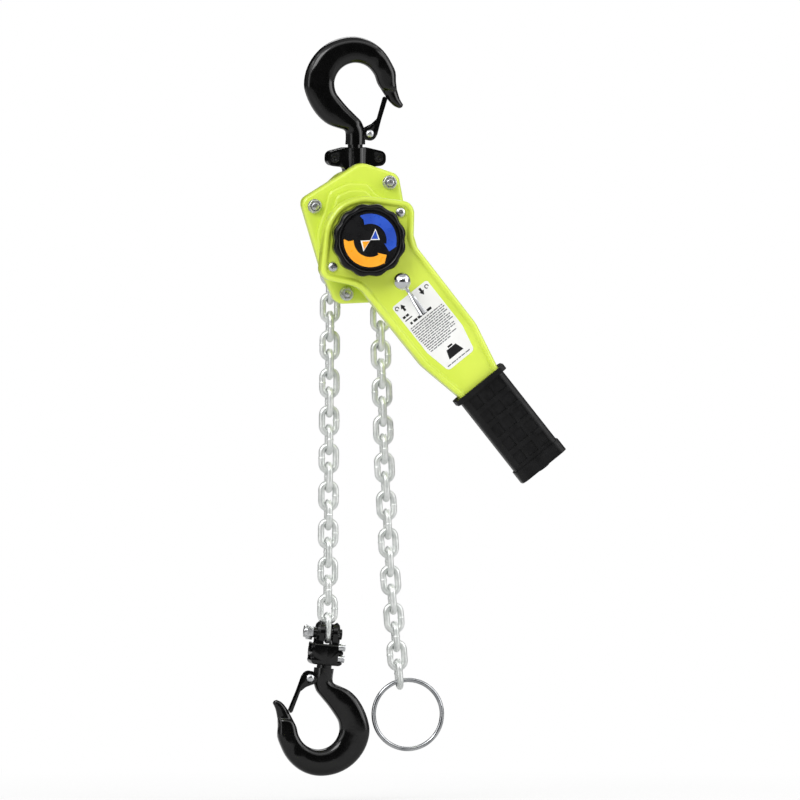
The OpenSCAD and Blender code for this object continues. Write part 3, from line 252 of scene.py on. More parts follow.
# %% Making a piece
def make(name, bm, place, material, body, instead_of=(), crease=32):
    """Turns a bmesh in millimetres into a finished piece in metres."""
    bmesh.ops.remove_doubles(bm, verts=bm.verts, dist=0.002)
    bmesh.ops.recalc_face_normals(bm, faces=bm.faces)
    for face in bm.faces:
        face.smooth = True
        face.material_index = 0
    for edge in bm.edges:
        edge.smooth = edge.calc_face_angle(0) < math.radians(crease)
    bm.transform(to_metres @ place)
    mesh = bpy.data.meshes.new(name)
    bm.to_mesh(mesh)
    bm.free()
    mesh.materials.append(material)
    piece = bpy.data.objects.new(name, mesh)
    scene.collection.objects.link(piece)
    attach(piece, body)
    if instead_of:
        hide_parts(*instead_of)
    print(name, len(mesh.polygons), "faces")
    return piece


# %% [markdown]
# ## Softened solids
#
# Forgings, nuts and screws have the right shape already, but their edges are razor
# sharp, and a real edge always catches a thin line of light. A copy of the solid is
# merged, its flat faces are joined, and its sharp edges are bevelled.

# %% Softening
FLAT_ANGLE, SHARP_ANGLE, SOFT_CREASE = 1.5, 38, 40


def copy_of(node):
    """A solid as a bmesh in millimetres, with its doubles merged."""
    bm = bmesh.new()
    bm.from_mesh(nodes[node].data)
    bm.transform(to_millimetres)
    bmesh.ops.remove_doubles(bm, verts=bm.verts, dist=0.003)
    return bm


def softened(node, width, segments=2):
    """A copy of a solid as a bmesh in millimetres, with its sharp edges rounded."""
    bm = copy_of(node)
    bmesh.ops.dissolve_limit(bm, angle_limit=math.radians(FLAT_ANGLE), verts=bm.verts, edges=bm.edges)
    sharp = [e for e in bm.edges if e.calc_face_angle(0) > math.radians(SHARP_ANGLE)]
    bmesh.ops.bevel(bm, geom=sharp, offset=width, offset_type="OFFSET", affect="EDGES", segments=segments,
                    profile=0.5, material=-1, clamp_overlap=True)
    return bm


def soften(node, width, segments):
    """Replaces a solid by its softened copy, with the same finish and body."""
    slot = slot_of[node]
    bm = softened(node, width, segments)
    return make(node + "_soft", bm, at_seat, slot_finish[slot], body_of[node], [node], SOFT_CREASE)


for node, width, segments in [
        ("top_yoke_front", 1.2, 3), ("top_yoke_rear", 1.2, 3), ("top_yoke_screws", 0.4, 2),
        ("top_pin", 0.5, 2), ("top_hook_latch", 0.5, 2), ("bottom_hook_latch", 0.5, 2),
        ("bottom_yoke_left", 1.2, 3), ("bottom_yoke_right", 1.2, 3),
        ("stay_nuts_front", 0.5, 2), ("stay_nuts_rear", 0.5, 2), ("stay_bolts", 0.8, 2),
        ("side_plate_front", 0.5, 2), ("side_plate_rear", 0.5, 2), ("lever_grip", 0.7, 2)]:
    soften(node, width, segments)

# %% [markdown]
# ## Turned shapes
#
# Heads, necks, the dome and the wheel are shapes of revolution about Y or Z. A few points
# give the profile, and a full spin with merging closes it.

# %% Turning
def turned(bm, profile, centre=(0, 0), steps=64, axis=(0, 1, 0)):
    """Spins a profile of (radius, position along the axis) about Y or Z through the centre."""
    if axis[1]:
        points = [(centre[0] + r, p, centre[1]) for r, p in profile]
        middle = (centre[0], 0, centre[1])
    else:
        points = [(centre[0] + r, centre[1], p) for r, p in profile]
        middle = (centre[0], centre[1], 0)
    verts = [bm.verts.new(p) for p in points]
    edges = [bm.edges.new(pair) for pair in zip(verts, verts[1:])]
    bmesh.ops.spin(bm, geom=verts + edges, cent=middle, axis=axis, angle=math.tau, steps=steps,
                   use_merge=True)
    bmesh.ops.remove_doubles(bm, verts=bm.verts, dist=0.001)


# %% [markdown]
# ## Joining and cutting
#
# A forging flows from one form into the next. The forms are made as closed shapes and
# joined or cut by the exact boolean, whose result is read back into the bmesh.

# %% Booleans
def combined(bm, other, operation):
    """bm joined with, or cut by, another closed bmesh. The other one is used up."""
    pair = []
    for shape in (bm, other):
        bmesh.ops.recalc_face_normals(shape, faces=shape.faces)
        mesh = bpy.data.meshes.new("boolean_side")
        shape.to_mesh(mesh)
        shape.free()
        side = bpy.data.objects.new("boolean_side", mesh)
        scene.collection.objects.link(side)
        pair.append(side)
    tool = pair[0].modifiers.new("carve", "BOOLEAN")
    tool.operation, tool.solver, tool.object = operation, "EXACT", pair[1]
    result = bmesh.new()
    result.from_mesh(pair[0].evaluated_get(bpy.context.evaluated_depsgraph_get()).data)
    for side in pair:
        mesh = side.data
        bpy.data.objects.remove(side)
        bpy.data.meshes.remove(mesh)
    return result


def merge(bm, other):
    """Adds another bmesh to bm just as it is. The other one is used up."""
    mesh = bpy.data.meshes.new("merged_side")
    other.to_mesh(mesh)
    other.free()
    bm.from_mesh(mesh)
    bpy.data.meshes.remove(mesh)


def disc(radius, y0, y1, centre=(0, 0), steps=48):
    """A closed plain cylinder along Y, as a cutter."""
    bm = bmesh.new()
    turned(bm, [(0, y0), (radius, y0), (radius, y1), (0, y1)], centre, steps)
    return bm


def block(size, centre):
    """A closed cube, as a cutter."""
    bm = bmesh.new()
    bmesh.ops.create_cube(bm, size=size)
    bmesh.ops.translate(bm, vec=centre, verts=bm.verts)
    return bm


# %% [markdown]
# ## Chain pin and yoke screws
#
# The pin that carries the last link is black like the yoke, but its locking nut is plated,
# and so are the heads of the small screws across the block. A plane through the solid
# divides the two finishes: each side is a closed piece of its own, cut out by a large block.

# %% Pin and screws in two finishes
NUT_FACE = -16.9
KEEP_SIZE = 120


def sided(node, name, edge, side, width, material, instead_of=()):
    """The part of a solid on one side of a plane across the pin's axis, with its edges rounded."""
    bm = softened(node, width)
    bm.transform(at_pin.inverted())
    bm = combined(bm, block(KEEP_SIZE, (edge + side * KEEP_SIZE / 2, 0, 0)), "INTERSECT")
    return make(name, bm, at_pin, material, body_of[node], instead_of, SOFT_CREASE)


sided("chain_pin", "chain_pin_black", NUT_FACE, 1, 0.5, black_enamel, ["chain_pin"])
sided("chain_pin", "chain_pin_nut", NUT_FACE, -1, 0.5, zinc_plate)
sided("bottom_yoke_screws", "yoke_screw_heads", 0, 1, 0.4, zinc_plate, ["bottom_yoke_screws"])
sided("bottom_yoke_screws", "yoke_screw_nuts", 0, -1, 0.4, black_oxide)

# %% [markdown]
# ## Hooks
#
# A hoist hook is a forged bar: round at the shank, a deep oval where the load bends it,
# and slim at the tip. Sections are placed along its path, each a ring of 32 points,
# the rings between them lie on smooth curves, and bridging them all gives the forging.
# Just before the tip the bar narrows in one short step, where the latch comes to rest.

# %% Sections along the hook: inner point, outer point, half thickness
BOWL = 24
crown = [(180, 57.6), (165, 57.3), (150, 56.6), (135, 55.8), (120, 54.9), (105, 54), (90, 53.2), (75, 51.8),
         (60, 50), (45, 48.3), (30, 47)]
hook_sections = [
    ((11.1, -67), (-11.1, -67), 11.1), ((11.1, -60), (-10.6, -58), 10.9), ((10.5, -51), (-12, -51.5), 10.5),
    ((6.5, -41.5), (-20, -48.5), 10.4), ((-1, -33.5), (-30.5, -44.5), 10.6),
    ((-9, -25.5), (-40.5, -36.5), 11), ((-16.6, -16.6), (-49, -25), 11), ((-22, -9), (-55, -12), 11)]
for degrees, outer in crown:
    way = Vector((math.cos(math.radians(degrees)), math.sin(math.radians(degrees))))
    hook_sections.append((tuple(way * BOWL), tuple(way * outer), 11 if degrees > 50 else 10))
hook_sections += [
    ((22.7, 8.4), (45.2, 13.5), 9.5), ((25.2, 1), (45.7, 3), 8.8), ((28.6, -4.8), (46.8, -5.2), 8.3),
    ((29.7, -6.8), (47.4, -7.4), 6), ((33.8, -13), (50, -16), 5.7), ((38, -19), (52.4, -20.5), 5.4),
    ((44, -24.7), (53.9, -23), 4.8), ((49.5, -27), (53, -25.5), 3.5)]
print(len(hook_sections), "sections from shank to tip")


# %% The forged bar
def passing(before, start, end, after, share):
    """The point a share of the way from start to end, on a smooth curve through all four."""
    bend = 2 * before - 5 * start + 4 * end - after
    twist = 3 * start - before - 3 * end + after
    return start + 0.5 * share * ((end - before) + share * bend + share ** 2 * twist)


def section_ring(bm, inner, outer, half, square):
    """One ring of 32 points, squarer than an ellipse where square is above 2."""
    middle, arm = (inner + outer) / 2, (outer - inner) / 2
    ring = bmesh.ops.create_circle(bm, segments=32, radius=1)["verts"]
    for vert in ring:
        across, thick = vert.co.x, vert.co.y
        across = math.copysign(abs(across) ** (2 / square), across)
        thick = math.copysign(abs(thick) ** (2 / square), thick)
        spot = middle + arm * across
        vert.co = (spot.x, thick * half, spot.y)
    return [e for e in bm.edges if all(v in ring for v in e.verts)]


def forged_bar():
    """The hook's smooth body, with no eye or neck yet."""
    bm = bmesh.new()
    points = [(Vector(inner), Vector(outer), half) for inner, outer, half in hook_sections]
    rings = []
    for index in range(len(points) - 1):
        quad = [points[min(max(index + k, 0), len(points) - 1)] for k in (-1, 0, 1, 2)]
        square = 2.1 if index < 3 else 2.3 if index > 20 else 3.1
        for share in (0, 1 / 3, 2 / 3):
            inner, outer = (passing(*(q[side] for q in quad), share) for side in (0, 1))
            half = quad[1][2] + (quad[2][2] - quad[1][2]) * share
            rings.append(section_ring(bm, inner, outer, half, square))
    inner, outer, half = points[-1]
    rings.append(section_ring(bm, inner, outer, half, 2.1))
    taper, beyond = (outer - inner) * 0.2, (outer - inner).orthogonal().normalized() * 1.1
    rings.append(section_ring(bm, inner + taper + beyond, outer - taper + beyond, half * 0.6, 2))
    for first, second in zip(rings, rings[1:]):
        bmesh.ops.bridge_loops(bm, edges=first + second)
    for end in (rings[0], rings[-1]):
        bmesh.ops.contextual_create(bm, geom=end)
    bmesh.ops.recalc_face_normals(bm, faces=bm.faces)
    return bm


# %% [markdown]
# Beside the shank sits the lug of the latch, and below it a turned neck whose collar
# is trapped in the yoke, so the hook swivels but can't pull out. Pockets beside the lug
# give the cheeks of the latch their room.

# %% Lug, neck and pockets
RIVET = (15.4, -54.9)
LUG_RADIUS, LUG_HALF = 6.2, 6.1
CHEEK_ROOM, SPRING_ROOM, RIVET_HOLE, BEYOND = 8.4, 7.8, 2.9, 14


def hook_piece(name, place, collar, neck_end):
    """A whole hook at its place, in front of the solid of the same name."""
    bm = forged_bar()
    bm = combined(bm, disc(LUG_RADIUS, -LUG_HALF, LUG_HALF, RIVET), "UNION")
    neck = bmesh.new()
    turned(neck, [(0, -60), (8.3, -60), (8.3, -collar - 0.6), (9.2, -collar), (10.2, -collar),
                  (10.6, -collar - 0.4), (10.6, -neck_end + 0.4), (10.2, -neck_end), (0, -neck_end)],
           axis=(0, 0, 1))
    bm = combined(bm, neck, "UNION")
    for cutter in (disc(CHEEK_ROOM, -BEYOND, -LUG_HALF, RIVET), disc(CHEEK_ROOM, LUG_HALF, BEYOND, RIVET),
                   disc(SPRING_ROOM, 2.2, 7, RIVET), disc(RIVET_HOLE, -BEYOND, BEYOND, RIVET)):
        bm = combined(bm, cutter, "DIFFERENCE")
    return make(name + "_forged", bm, place, black_enamel, name, [name], SOFT_CREASE)


hook_piece("top_hook", at_seat, 90.5, 98)
hook_piece("bottom_hook", at_lower_hook, 82.2, 86.8)

# %% [markdown]
# The latch turns on a rivet whose heads are domed by the riveting set: a low round cap
# with a soft edge on each side.

# %% Latch rivets
for side, place in (("top", at_seat), ("bottom", at_lower_hook)):
    bm = bmesh.new()
    for s in (-1, 1):
        turned(bm, [(0, s * 10), (1.6, s * 9.9), (3, s * 9.5), (4.1, s * 8.8), (4.5, s * 8.1), (0, s * 8.05)],
               RIVET, 40)
    turned(bm, [(2.6, -8.1), (2.6, 8.1)], RIVET, 32)
    make(f"{side}_latch_rivet_domed", bm, place, zinc_plate, side + "_hook", [side + "_latch_rivet"])

# %% [markdown]
# ## Pressed steel
#
# Covers and lever halves are sheet pressings: an outline with rounded corners whose
# wall turns over into beads and steps. The outline starts as a face with a few corners,
# a vertex bevel rounds them, and a row of insets lifts the pressing step by step.

# %% Rounded outlines and raised steps
def plate(bm, corners, radii, y, front=True):
    """A flat face with rounded corners at y, facing the viewer or away from the viewer."""
    verts = [bm.verts.new((x, y, z)) for x, z in corners]
    bm.faces.new(verts if front else verts[::-1])
    count = len(corners)
    for index, (vert, radius) in enumerate(zip(verts, radii)):
        here = Vector(corners[index])
        before, after = here - Vector(corners[index - 1]), Vector(corners[(index + 1) % count]) - here
        turn = abs(before.angle_signed(after))
        bmesh.ops.bevel(bm, geom=[vert], offset=radius * math.tan(turn / 2), offset_type="OFFSET",
                        affect="VERTICES", segments=max(3, round(math.degrees(turn) / 7)), profile=0.5,
                        material=-1)
    bmesh.ops.remove_doubles(bm, verts=bm.verts, dist=0.01)
    return max(bm.faces, key=lambda f: f.calc_area())


def lifted(bm, face, steps):
    """Insets a face again and again: each step is (inward, outward) in millimetres."""
    for inward, outward in steps:
        bmesh.ops.inset_region(bm, faces=[face], thickness=inward, depth=outward, use_even_offset=True,
                               use_boundary=True)


def closed(bm, face, floor):
    """Closes a pressing below its outline, down to the plane y = floor."""
    rim = [e for e in bm.edges if e.is_boundary]
    made = bmesh.ops.extrude_edge_only(bm, edges=rim)["geom"]
    low = [v for v in made if isinstance(v, bmesh.types.BMVert)]
    for vert in low:
        vert.co.y = floor
    bmesh.ops.contextual_create(bm, geom=[e for e in made if isinstance(e, bmesh.types.BMEdge)])
    return bm


# %% [markdown]
# ## Brake cover
#
# The cover is a deep pressing. Round its outline runs a flat shoulder for the nuts; inside
# it two steps climb to the dome over the brake, each with a hump towards the upper left
# where the stay bolt and the pawl need room. A turned collar carries the lever.

# %% Brake cover
PLATE_OUT, COVER_WALL, STAY_HOLE = 21.2, 2.2, 4.3
cover_corners = [(1, 85), (-67.3, 42.8), (-44.2, -34), (-27, -73.5), (46.3, -70.8), (67.7, -19.1), (49, 42),
                 (43.7, 71)]
cover_radii = [16, 11, 40, 12, 12, 30, 30, 12]
stays = [(33, 62), (-51.5, 36), (47.3, -46), (-15.4, -61.5)]
EDGE = [(0.3, 1.6), (0.9, 1.3), (1.2, 0.8), (1.4, 0.3)]


def round_corners(radius, angles, spread):
    """Corners of a polygon that wraps a circle: with rounding by the same radius it is that circle."""
    reach = radius / math.cos(math.radians(spread / 2))
    return [(reach * math.cos(math.radians(a)), reach * math.sin(math.radians(a))) for a in angles]


def step(corners, radii, base, rise):
    """One closed step of the pressing, from the plane y = base up to y = rise."""
    bm = bmesh.new()
    face = plate(bm, corners, radii, -base)
    lifted(bm, face, [(0.15, rise - base - 2.4), (0.5, 1.2), (0.9, 0.8), (1.3, 0.4)])
    return closed(bm, face, 1 - base)


SPREAD = 51
AROUND = [190.5 + SPREAD * k for k in range(5)]
bm = bmesh.new()
face = plate(bm, cover_corners, cover_radii, -PLATE_OUT)
lifted(bm, face, [(0.05, 10.8), *EDGE, (2.5, 0.2)])
bmesh.ops.contextual_create(bm, geom=[e for e in bm.edges if e.is_boundary])
first_hump = [(17, 50.5), (8, 61.5), (-14, 62.5), (-35.5, 53), (-40.5, 33.5)]
first_step = step([*first_hump, *round_corners(51.5, AROUND, SPREAD)], [10, 9, 14, 9, 16] + [50.5] * 5,
                  35.6, 40.4)
second_hump = [(14, 46), (4, 54.5), (-12, 55), (-28, 48.5), (-32, 34)]
second_step = step([*second_hump, *round_corners(46.8, AROUND, SPREAD)], [10, 8, 10, 8, 14] + [45.8] * 5,
                   39.4, 45)
dome = bmesh.new()
turned(dome, [(0, -44), (45, -44), (44.4, -46.5), (42.8, -48.6), (40.4, -49.8), (37, -50.2), (25.6, -50.3),
              (24.3, -50.9), (24, -52), (24, -61.2), (23.4, -61.8), (0, -61.8)], steps=96)
for part in (first_step, second_step, dome):
    bm = combined(bm, part, "UNION")
cavity = bmesh.new()
floor_face = plate(cavity, cover_corners, cover_radii, -20)
lifted(cavity, floor_face, [(COVER_WALL, 0), (0.02, 14)])
bm = combined(bm, closed(cavity, floor_face, -10), "DIFFERENCE")
for cutter in (disc(39.6, -47.5, -30, steps=96), disc(16, -63, -40),
               *[disc(STAY_HOLE, -38, -20, s) for s in stays]):
    bm = combined(bm, cutter, "DIFFERENCE")
make("brake_cover_pressed", bm, at_axis, lime_powder_coat, "frame", ["brake_cover"], 34)

# %% [markdown]
# ## Gear cover
#
# Behind the other plate the gears turn in a grease cover, pressed like the first one but
# with a flat face and a wide round edge.

# %% Gear cover
bm = bmesh.new()
gear_corners = [(14, 80), (-14, 69), (-38, 47), (-40, 8), (-31, -34), (-21.5, -72), (46, -69.3), (66, -19.5),
                (47.5, 41.7), (42.5, 70)]
face = plate(bm, gear_corners, [14, 20, 14, 30, 20, 11, 12, 26, 26, 12], PLATE_OUT, front=False)
lifted(bm, face, [(0.05, 30), (0.5, 2.2), (1.3, 1.8), (1.9, 1.2), (2.2, 0.6), (2.5, 0.2)])
bmesh.ops.contextual_create(bm, geom=[e for e in bm.edges if e.is_boundary])
for cutter in [disc(STAY_HOLE, 20, 60, s) for s in (stays[0], stays[2], stays[3])]:
    bm = combined(bm, cutter, "DIFFERENCE")
make("gear_cover_pressed", bm, at_axis, lime_powder_coat, "frame", ["gear_cover"], 34)

# %% [markdown]
# ## Lever
#
# The lever is two pressings that meet in the middle of its thickness. Round the edge of
# each runs a raised bead, which stiffens it, and the panel between lies 3.5 mm lower. The
# outline and its insets make the outer skin, and solidify gives the sheet its wall. A
# block cuts the far end open inside the grip.

# %% Lever shells
SHEET, SHAFT_HOLE, SLEEVE_HOLE, SELECTOR_HOLE, SCREW_HOLE = 1.6, 15.2, 24.1, 4.6, 2.8
half_lever = [(150.6, 38.3), (36, 39.3), (7.03, 63.3), (-3.97, 63.3), (-49, 19.3)]
half_radii = [40, 26, 13.4, 12, 45]
handle_end = [(204.5, -27), (232, -26.6), (232, 26.6), (204.5, 27)]
lever_corners = half_lever + [(x, -z) for x, z in half_lever[::-1]] + handle_end
lever_radii = half_radii + half_radii[::-1] + [40, 10, 10, 40]
OVER = [(0.25, 1.3), (0.7, 1.0), (1.0, 0.75), (1.2, 0.45), (1.2, 0.1)]
DOWN = [(0.9, -0.3), (0.8, -0.8), (0.7, -1.1), (0.65, -0.8), (0.5, -0.4), (0.5, -0.1)]


def lever_half(name, split, wall, front, holes):
    """One half of the lever, from the split plane outwards."""
    bm = bmesh.new()
    face = plate(bm, lever_corners, lever_radii, split, front)
    lifted(bm, face, [(0.02, wall), *OVER, *DOWN])
    bmesh.ops.solidify(bm, geom=list(bm.faces), thickness=SHEET)
    for centre, radius in holes:
        bm = combined(bm, disc(radius, -90, -50, centre), "DIFFERENCE")
    bm = combined(bm, block(60, (240, -70, 0)), "DIFFERENCE")
    return make(name + "_pressed", bm, in_lever, lime_powder_coat, "lever", [name], 34)


screw_spots = [(0, 48.9), (0, -48.9)]
screw_holes = [(spot, SCREW_HOLE) for spot in screw_spots]
lever_half("lever_shell_front", -70.1, 10.3, True,
           [((0, 0), SHAFT_HOLE), ((SELECTOR_X, 0), SELECTOR_HOLE)] + screw_holes)
lever_half("lever_shell_rear", -70, 9.9, False, [((0, 0), SLEEVE_HOLE)] + screw_holes)

# %% [markdown]
# ## Lever screws
#
# Two pan head screws with a cross recess hold the halves together. The head is turned,
# and two crossed blades cut the recess, narrower at its bottom as the driver is.

# %% Pan head screws
RECESS, RECESS_Y = (5.6, 4, 1.3), -84.1
bm = bmesh.new()
for spot in screw_spots:
    turned(bm, [(0, -84.4), (2.4, -84.3), (4.2, -83.8), (5.3, -82.8), (5.9, -81.5), (6, -80.5), (2.5, -80.5),
                (2.5, -57), (2.2, -56.6), (0, -56.6)], spot, 48)
for spot in screw_spots:
    for quarter in (0, 90):
        blade = bmesh.new()
        bmesh.ops.create_cube(blade, size=1)
        bmesh.ops.scale(blade, vec=RECESS, verts=blade.verts)
        low = [v for v in blade.verts if v.co.y > 0]
        bmesh.ops.scale(blade, vec=(0.45, 1, 0.8), verts=low)
        bmesh.ops.rotate(blade, cent=(0, 0, 0), matrix=Matrix.Rotation(math.radians(45 + quarter), 3, "Y"),
                         verts=blade.verts)
        bmesh.ops.translate(blade, vec=(spot[0], RECESS_Y, spot[1]), verts=blade.verts)
        bm = combined(bm, blade, "DIFFERENCE")
make("lever_screws_pan_head", bm, in_lever, zinc_plate, "lever", ["lever_screws"], 34)

# %% [markdown]
# ## Selector
#
# The changeover lever is chromed: a ball to push with the thumb, and a stem pressed to a
# channel that widens towards its end and points at the marks on the label.

# %% Selector
BALL_RADIUS, BALL_Y, SELECTOR_TURN = 9.9, -105, 5
STEM_START, STEM_LENGTH, STEM_WALL = 65, 37.5, 2.2


def face_viewer(bm):
    """Turns every face of a sheet towards the viewer, so that solidify knows its sides."""
    bm.normal_update()
    for face in bm.faces:
        if face.normal.y > 0:
            face.normal_flip()


bm = bmesh.new()
bmesh.ops.create_uvsphere(bm, u_segments=64, v_segments=40, radius=BALL_RADIUS)
bmesh.ops.translate(bm, vec=(SELECTOR_X, BALL_Y, 0), verts=bm.verts)
turned(bm, [(0, -98), (4.4, -98), (4.4, -63), (0, -63)], (SELECTOR_X, 0), 40)
stem = bmesh.new()
bmesh.ops.create_grid(stem, x_segments=9, y_segments=6, size=1)
for vert in stem.verts:
    along, side = (vert.co.x + 1) / 2, vert.co.y
    half = 2.9 - 1.2 * math.sin(min(along * 2.2, 1) * math.pi) * 0.9 + 2.1 * max(0, along - 0.25)
    groove = max(0, 1 - (side / 0.7) ** 2) * min(1, max(0, along - 0.14) * 8)
    depth = -104 + 0.6 * along + 1.3 * groove + 1.5 * abs(side) ** 4
    vert.co = (STEM_START + STEM_LENGTH * along, depth, side * half)
face_viewer(stem)
bmesh.ops.solidify(stem, geom=list(stem.faces), thickness=STEM_WALL)
merge(bm, stem)
bmesh.ops.rotate(bm, cent=(SELECTOR_X, 0, 0), matrix=Matrix.Rotation(math.radians(SELECTOR_TURN), 3, "Y"),
                 verts=bm.verts)
make("selector_lever_chromed", bm, in_lever, chrome_plate, "selector", ["selector_lever"], 50)

# %% [markdown]
# ## Hand wheel
#
# The brake wheel is a plastic moulding with twelve finger scallops, a thick rounded rim
# and a sunk face for its sticker. A spun profile is pulled inwards twelve times round,
# most at the rim and not at all near the middle.

# %% Hand wheel
WHEEL_RADIUS, SCALLOPS, SCALLOP_DEPTH, SUNK_RADIUS = 41.5, 12, 1.9, 33.6
bm = bmesh.new()
turned(bm, [(0, -88), (15.2, -88), (15.2, -86), (36, -86), (39, -86.6), (40.8, -88), (WHEEL_RADIUS, -90),
            (WHEEL_RADIUS, -102.5), (41.2, -104.6), (40.2, -106.5), (38.6, -107.6), (36.8, -108),
            (35.2, -107.7), (34, -106.8), (33.5, -105.5), (0, -105.5)], steps=192)
for vert in bm.verts:
    reach = math.hypot(vert.co.x, vert.co.z)
    if reach > SUNK_RADIUS:
        wave = (0.5 + 0.5 * math.cos(SCALLOPS * math.atan2(vert.co.z, vert.co.x))) ** 1.2
        pull = 1 - SCALLOP_DEPTH / WHEEL_RADIUS * wave * min(1, (reach - SUNK_RADIUS) / 6)
        vert.co.x *= pull
        vert.co.z *= pull
make("hand_wheel_moulded", bm, at_axis, moulded_plastic, "hand_wheel", ["hand_wheel"], 60)

# %% [markdown]
# The sticker shows which way to turn: a blue arrow with the clock to load, an orange one
# against it to free, and two small pointers in the middle. Each print is a band spun from
# three points, whose first and last rows are moved to make the notch and the head.

# %% Wheel sticker
PRINT_Y, PRINT_THICKNESS, OVERPRINT = -106.56, 0.05, 0.06


def flat_piece(name, bm, place, material, body):
    """A printed layer: a flat sheet, given a hair of thickness towards the viewer."""
    face_viewer(bm)
    bmesh.ops.solidify(bm, geom=list(bm.faces), thickness=-PRINT_THICKNESS)
    return make(name, bm, place, material, body)


def arc_arrow(name, material, inner, outer, start, turn, head):
    """A curved arrow: start and turn in degrees, measured against the clock from +X."""
    bm = bmesh.new()
    radii = (inner, (inner + outer) / 2, outer)
    way = math.copysign(1, turn)

    def spot(radius, degrees):
        return (radius * math.cos(math.radians(degrees)), PRINT_Y, radius * math.sin(math.radians(degrees)))

    row = [bm.verts.new(spot(r, start)) for r in radii]
    edges = [bm.edges.new(pair) for pair in zip(row, row[1:])]
    made = bmesh.ops.spin(bm, geom=row + edges, cent=(0, 0, 0), axis=(0, 1, 0), angle=math.radians(-turn),
                          steps=48)
    last = [v for v in made["geom_last"] if isinstance(v, bmesh.types.BMVert)]
    last.sort(key=lambda v: v.co.length)
    row[1].co = spot(radii[1], start + way * 5)
    end = start + turn
    barb_in, barb_out = bm.verts.new(spot(inner - 2.4, end)), bm.verts.new(spot(outer + 1.2, end))
    tip = bm.verts.new(spot(radii[1] + 0.6, end + way * head))
    bm.faces.new((barb_in, last[0], last[1], last[2], barb_out, tip))
    return flat_piece(name, bm, at_axis, material, "hand_wheel")


arc_arrow("wheel_arrow_load", blue_ink, 18.6, 29.8, 113, -125, 18)
arc_arrow("wheel_arrow_free", orange_ink, 18.6, 29.8, 177, 124, 18)


def printed(name, shapes, y, place, material, body):
    """Flat prints, each given by its corners (x, z)."""
    bm = bmesh.new()
    for corners in shapes:
        bm.faces.new([bm.verts.new((x, y, z)) for x, z in corners])
    return flat_piece(name, bm, place, material, body)


pointer_edges = [((0.1, 0.4), (6, 13), (11, 0.6)), ((0.3, 0.3), (-10.8, -0.2), (-7.6, -12.4))]
printed("wheel_pointer_edges", pointer_edges, PRINT_Y, at_axis, white_ink, "hand_wheel")
for name, ink, pointer in (("wheel_pointer_load", blue_ink, ((1.2, 1.6), (6.2, 11), (9.2, 1.6))),
                           ("wheel_pointer_free", orange_ink, ((-0.6, -0.8), (-9, -1.2), (-6.8, -10.2)))):
    printed(name, [pointer], PRINT_Y - OVERPRINT, at_axis, ink, "hand_wheel")

# %% [markdown]
# ## Lever label
#
# The label says by signs alone how the selector works: an arrow away from the head on
# one side, one towards it on the other. Rows of plain rules stand where such a label has
# its small print, and a weight is drawn at the end.

# %% Lever label
LABEL_Y = -80.95
DASH_HEIGHT, DASH_GAP, DASH_STEP = 1.15, 0.8, 1.3
ARROW_STEM, ARROW_LENGTH = 4, 8.8


def bar(u0, u1, v0, v1):
    """A straight bar on the label, from its corners along and across the lever."""
    return ((u0, v0), (u1, v0), (u1, v1), (u0, v1))


def arrow(u, v, way):
    """A short straight arrow along the lever."""
    neck, tip = u + way * ARROW_STEM, u + way * ARROW_LENGTH
    return ((u, v - 1.3), (neck, v - 1.3), (neck, v - 3.1), (tip, v), (neck, v + 3.1), (neck, v + 1.3),
            (u, v + 1.3))


def small_print(u, v0, v1, seed):
    """One row of plain dashes, long and short, where a label has its words."""
    dashes, v, turn = [], v0, seed
    while v < v1 - 1.5:
        long = 2.2 + DASH_STEP * (turn * 5 % 4)
        dashes.append(bar(u, u + DASH_HEIGHT, v, min(v + long, v1)))
        v, turn = v + long + DASH_GAP, turn + 1
    return dashes


rows = [(109, -23, 22), (111.6, -23.5, 23), (114.2, -23.5, 21), (116.8, -23, 23), (119.4, -23.5, 19),
        (122, -23, 23), (124.6, -23.5, 22), (127.2, -23, 23), (129.8, -22.5, 16), (132.4, -22.5, 22),
        (135, -22, 20), (137.6, -22, 12), (140.2, -21.5, 18), (142.8, -21, 7), (168, -16.5, 16.5)]
rules = [dash for index, row in enumerate(rows) for dash in small_print(*row, index)]
bold = [arrow(89.6, -15, -1), arrow(79.8, 12.6, 1),
        bar(93.6, 96.2, -22.5, -19), bar(93.6, 96.2, -18.2, -14.6), bar(98.4, 99.6, -22.5, -13),
        *[bar(103.4, 106.2, v0, v1) for v0, v1 in ((-19.5, -17), (-15, -10), (-9, -3.5), (-2.5, 3), (4, 10))],
        ((153.5, -6.5), (153.5, 6.5), (163.5, 10), (163.5, -10)), bar(150.4, 152.6, -3, 3)]
printed("lever_label_signs", bold, LABEL_Y, in_lever, black_ink, "lever")
printed("lever_label_rules", rules, LABEL_Y, in_lever, grey_ink, "lever")
bm = bmesh.new()
for centre in ((82.2, -21.2), (83.2, 20.4)):
    ring = [bm.verts.new((centre[0] + r, LABEL_Y, centre[1])) for r in (1.5, 2.5)]
    bmesh.ops.spin(bm, geom=ring + [bm.edges.new(ring)], cent=(centre[0], 0, centre[1]), axis=(0, 1, 0),
                   angle=math.radians(300), steps=24)
flat_piece("lever_label_rings", bm, in_lever, black_ink, "lever")

# %% [markdown]
# ## Welds
#
# Each link is bent from a rod and butt welded in the middle of one long side, where a low
# bead is left. The links are found as the separate shells of each chain solid, and their
# flat direction tells on which side the weld lies. The links that the sheave takes in are
# left bare, so that no bead meets a pocket.

# %% Weld beads
LEG_OFFSET = 8.05
BEAD = [(3.3, -1.7), (3.62, -1.1), (3.86, -0.4), (3.86, 0.4), (3.62, 1.1), (3.3, 1.7)]


